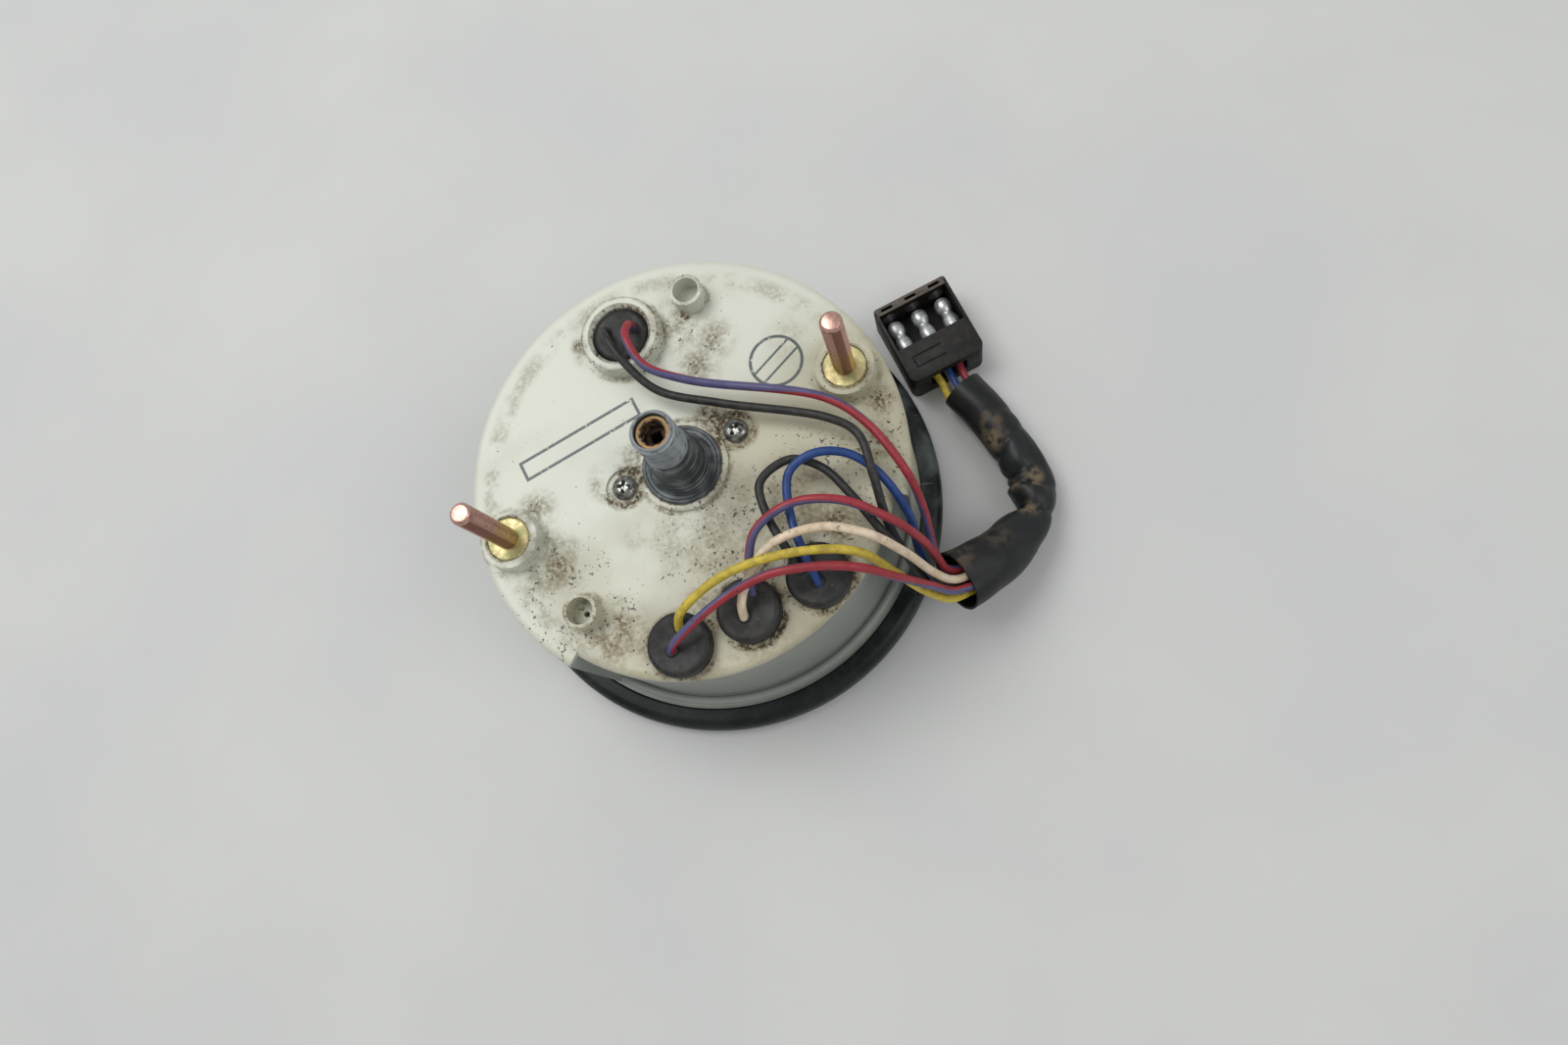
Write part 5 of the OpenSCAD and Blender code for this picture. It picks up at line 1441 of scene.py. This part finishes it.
# flat letters as points and faces, centred on the origin
def letters(text, size):
    curve = bpy.data.curves.new("letters", "FONT")
    curve.body = text
    curve.size = size
    curve.align_x = "CENTER"
    curve.align_y = "CENTER"
    curve.offset = size * 0.012
    holder = linked("letters", curve)
    graph = bpy.context.evaluated_depsgraph_get()
    mesh = bpy.data.meshes.new_from_object(holder.evaluated_get(graph))
    bpy.data.objects.remove(holder)
    return mesh


def makeDialPrint(d):
    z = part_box("dial_plate")[0].z - d["inkLift"] * mm
    points = []
    faces = []

    def add(corners, picked):
        start = len(points)
        points.extend(corners)
        faces.extend(tuple(start + k for k in face) for face in picked)

    for value in range(0, d["top"] + 1, d["everyLine"]):
        angle = speedAngle(d, value)
        long = value % d["everyNumber"] == 0
        inner = d["longInner"] if long else d["shortInner"]
        if value % 10 == 5:
            inner = (d["shortInner"] + d["outer"]) / 2
        half = (d["longWidth"] if long else d["shortWidth"]) / 2
        out = Vector((math.cos(angle), math.sin(angle), 0))
        side = Vector((-out.y, out.x, 0)) * half
        corners = [out * inner - side, out * inner + side, out * d["outer"] + side, out * d["outer"] - side]
        add([(c.x * mm, c.y * mm, z) for c in corners], [(0, 1, 2, 3)])
    words = [(str(value), d["numberRadius"] * math.cos(speedAngle(d, value)),
              d["numberRadius"] * math.sin(speedAngle(d, value)), d["numberSize"])
             for value in range(0, d["top"] + 1, d["everyNumber"])]
    for text, x, y, size in words + d["words"]:
        mesh = letters(text, size)
        corners = [((x - v.co.x) * mm, (y + v.co.y) * mm, z) for v in mesh.vertices]
        add(corners, [tuple(face.vertices) for face in mesh.polygons])
    dress(flatPiece("dial_print", points, faces), "dialPrint")


# digits bent round the odometer drums, the next one coming up as a drum turns
digits = {
    "size": 5.6,
    "lift": 0.03,
    "narrowed": 0.8,
    "cutEvery": 0.5,
    "cuts": 6,
    "shown": {1: 4, 2: 7, 3: 3, 4: 8, 5: 2, 6: 0},
}


def makeDigits(index, d):
    low, high = boxOf("drum_%d" % index)
    centre = (low + high) / 2
    reach = (high.y - low.y) / 2 + d["lift"]
    points = []
    faces = []
    for digit in range(10):
        mesh = letters(str(digit), d["size"])
        work = bmesh.new()
        work.from_mesh(mesh)
        for k in range(-d["cuts"], d["cuts"] + 1):
            picked = work.verts[:] + work.edges[:] + work.faces[:]
            bmesh.ops.bisect_plane(work, geom=picked, plane_co=(0, k * d["cutEvery"], 0), plane_no=(0, 1, 0))
        work.verts.index_update()
        start = len(points)
        for v in work.verts:
            turn = math.radians(36) * (digit - d["shown"][index]) - v.co.y / reach
            points.append(Vector((centre.x - v.co.x * d["narrowed"], centre.y - reach * math.sin(turn),
                                  centre.z - reach * math.cos(turn))) * mm)
        faces.extend(tuple(start + v.index for v in face.verts) for face in work.faces)
        work.free()
    piece = flatPiece("drum_digits_%d" % index, points, faces)
    if index == 1:
        dress(piece, "digitInk", "tenths")
    else:
        dress(piece, "dialPrint", "counter_%d" % index)


makeDialPrint(dial)
for index in range(1, 7):
    makeDigits(index, digits)
print("dial printed")


# finishes of the CAD pieces that stay
keptFinishes = {
    "casePlastic": ["case"], "frontGlass": ["lens"], "innerRubber": ["lens_gasket"],
    "maskPlastic": ["mask_ring", "pointer_cap"], "dialPaint": ["dial_plate"],
    "indicatorPlastic": ["indicator_lenses"], "orangePaint": ["pointer"],
    "steel": ["zero_stop", "pointer_spindle", "bridge_plate", "field_ring", "odometer_shaft",
              "carry_shaft", "odometer_bracket", "dial_screws"],
    "bronze": ["hairspring", "cross_shaft"], "aluminium": ["speed_cup"], "magnetAlloy": ["magnet"],
    "rustySteel": ["drive_shaft"], "bushBronze": ["socket_bush"], "dieCast": ["movement_frame"],
    "gearPlastic": ["drum_gear", "light_tunnels"] + ["carry_pinion_%d" % k for k in range(1, 6)],
    "drumWhite": ["drum_1"], "drumBlack": ["drum_%d" % k for k in range(2, 7)],
    "bulbGlass": ["lamp_bulbs"],
}
for finish, names in keptFinishes.items():
    for name in names:
        nodes[name].data.materials.clear()
        nodes[name].data.materials.append(materials[finish])
print("CAD pieces finished")


# plain pale floor, soft light from above and a pale surrounding
studio = {
    "floorColours": ((207, 208, 204), (200, 201, 200)),
    "floorPatches": (9, 6.0, 0.3, 0.7),
    "floorRough": 0.7,
    "floorSize": 60.0,
    "floorDrop": 0.0002,
    "surround": (0.80, 0.81, 0.82, 1.0),
    "surroundLight": 0.62,
    "lamps": [
        {"place": (-0.35, 0.55, 1.25), "size": 0.9, "power": 9.0},
        {"place": (0.75, -0.55, 1.05), "size": 0.7, "power": 3.0},
    ],
}


def makeFloor(s):
    half = s["floorSize"] / 2
    corners = [(-half, -half), (half, -half), (half, half), (-half, half)]
    floor = makePiece("floor", [(x, y, -s["floorDrop"]) for x, y in corners], [(0, 1, 2, 3)])
    m = Finish("floorPaint", s)
    m.done(m.mix(m.cloud("floorPatches"), *s["floorColours"]), "floorRough")
    # seen from below the floor is clear, so that the front shows
    behind = m.add("NewGeometry").outputs["Backfacing"]
    clear = m.add("BsdfTransparent").outputs[0]
    both = m.add("MixShader", {0: behind, 1: m.shader.outputs[0], 2: clear})
    m.put(m.tree.nodes["Material Output"], {"Surface": both.outputs[0]})
    floor.data.materials.append(materials["floorPaint"])


def makeLamp(index, lamp):
    data = bpy.data.lights.new("lamp_%d" % index, "AREA")
    data.shape = "DISK"
    data.size = lamp["size"]
    data.energy = lamp["power"]
    made = linked(data.name, data)
    made.location = lamp["place"]
    made.rotation_euler = (-Vector(lamp["place"])).to_track_quat("-Z", "Y").to_euler()


def makeSurround(s):
    world = bpy.data.worlds.new("surround")
    bpy.context.scene.world = world
    world.use_nodes = True
    back = world.node_tree.nodes["Background"]
    back.inputs["Color"].default_value = s["surround"]
    back.inputs["Strength"].default_value = s["surroundLight"]


makeFloor(studio)
for index, lamp in enumerate(studio["lamps"]):
    makeLamp(index, lamp)
makeSurround(studio)
bpy.context.scene.view_settings.view_transform = "Standard"
print("studio made")
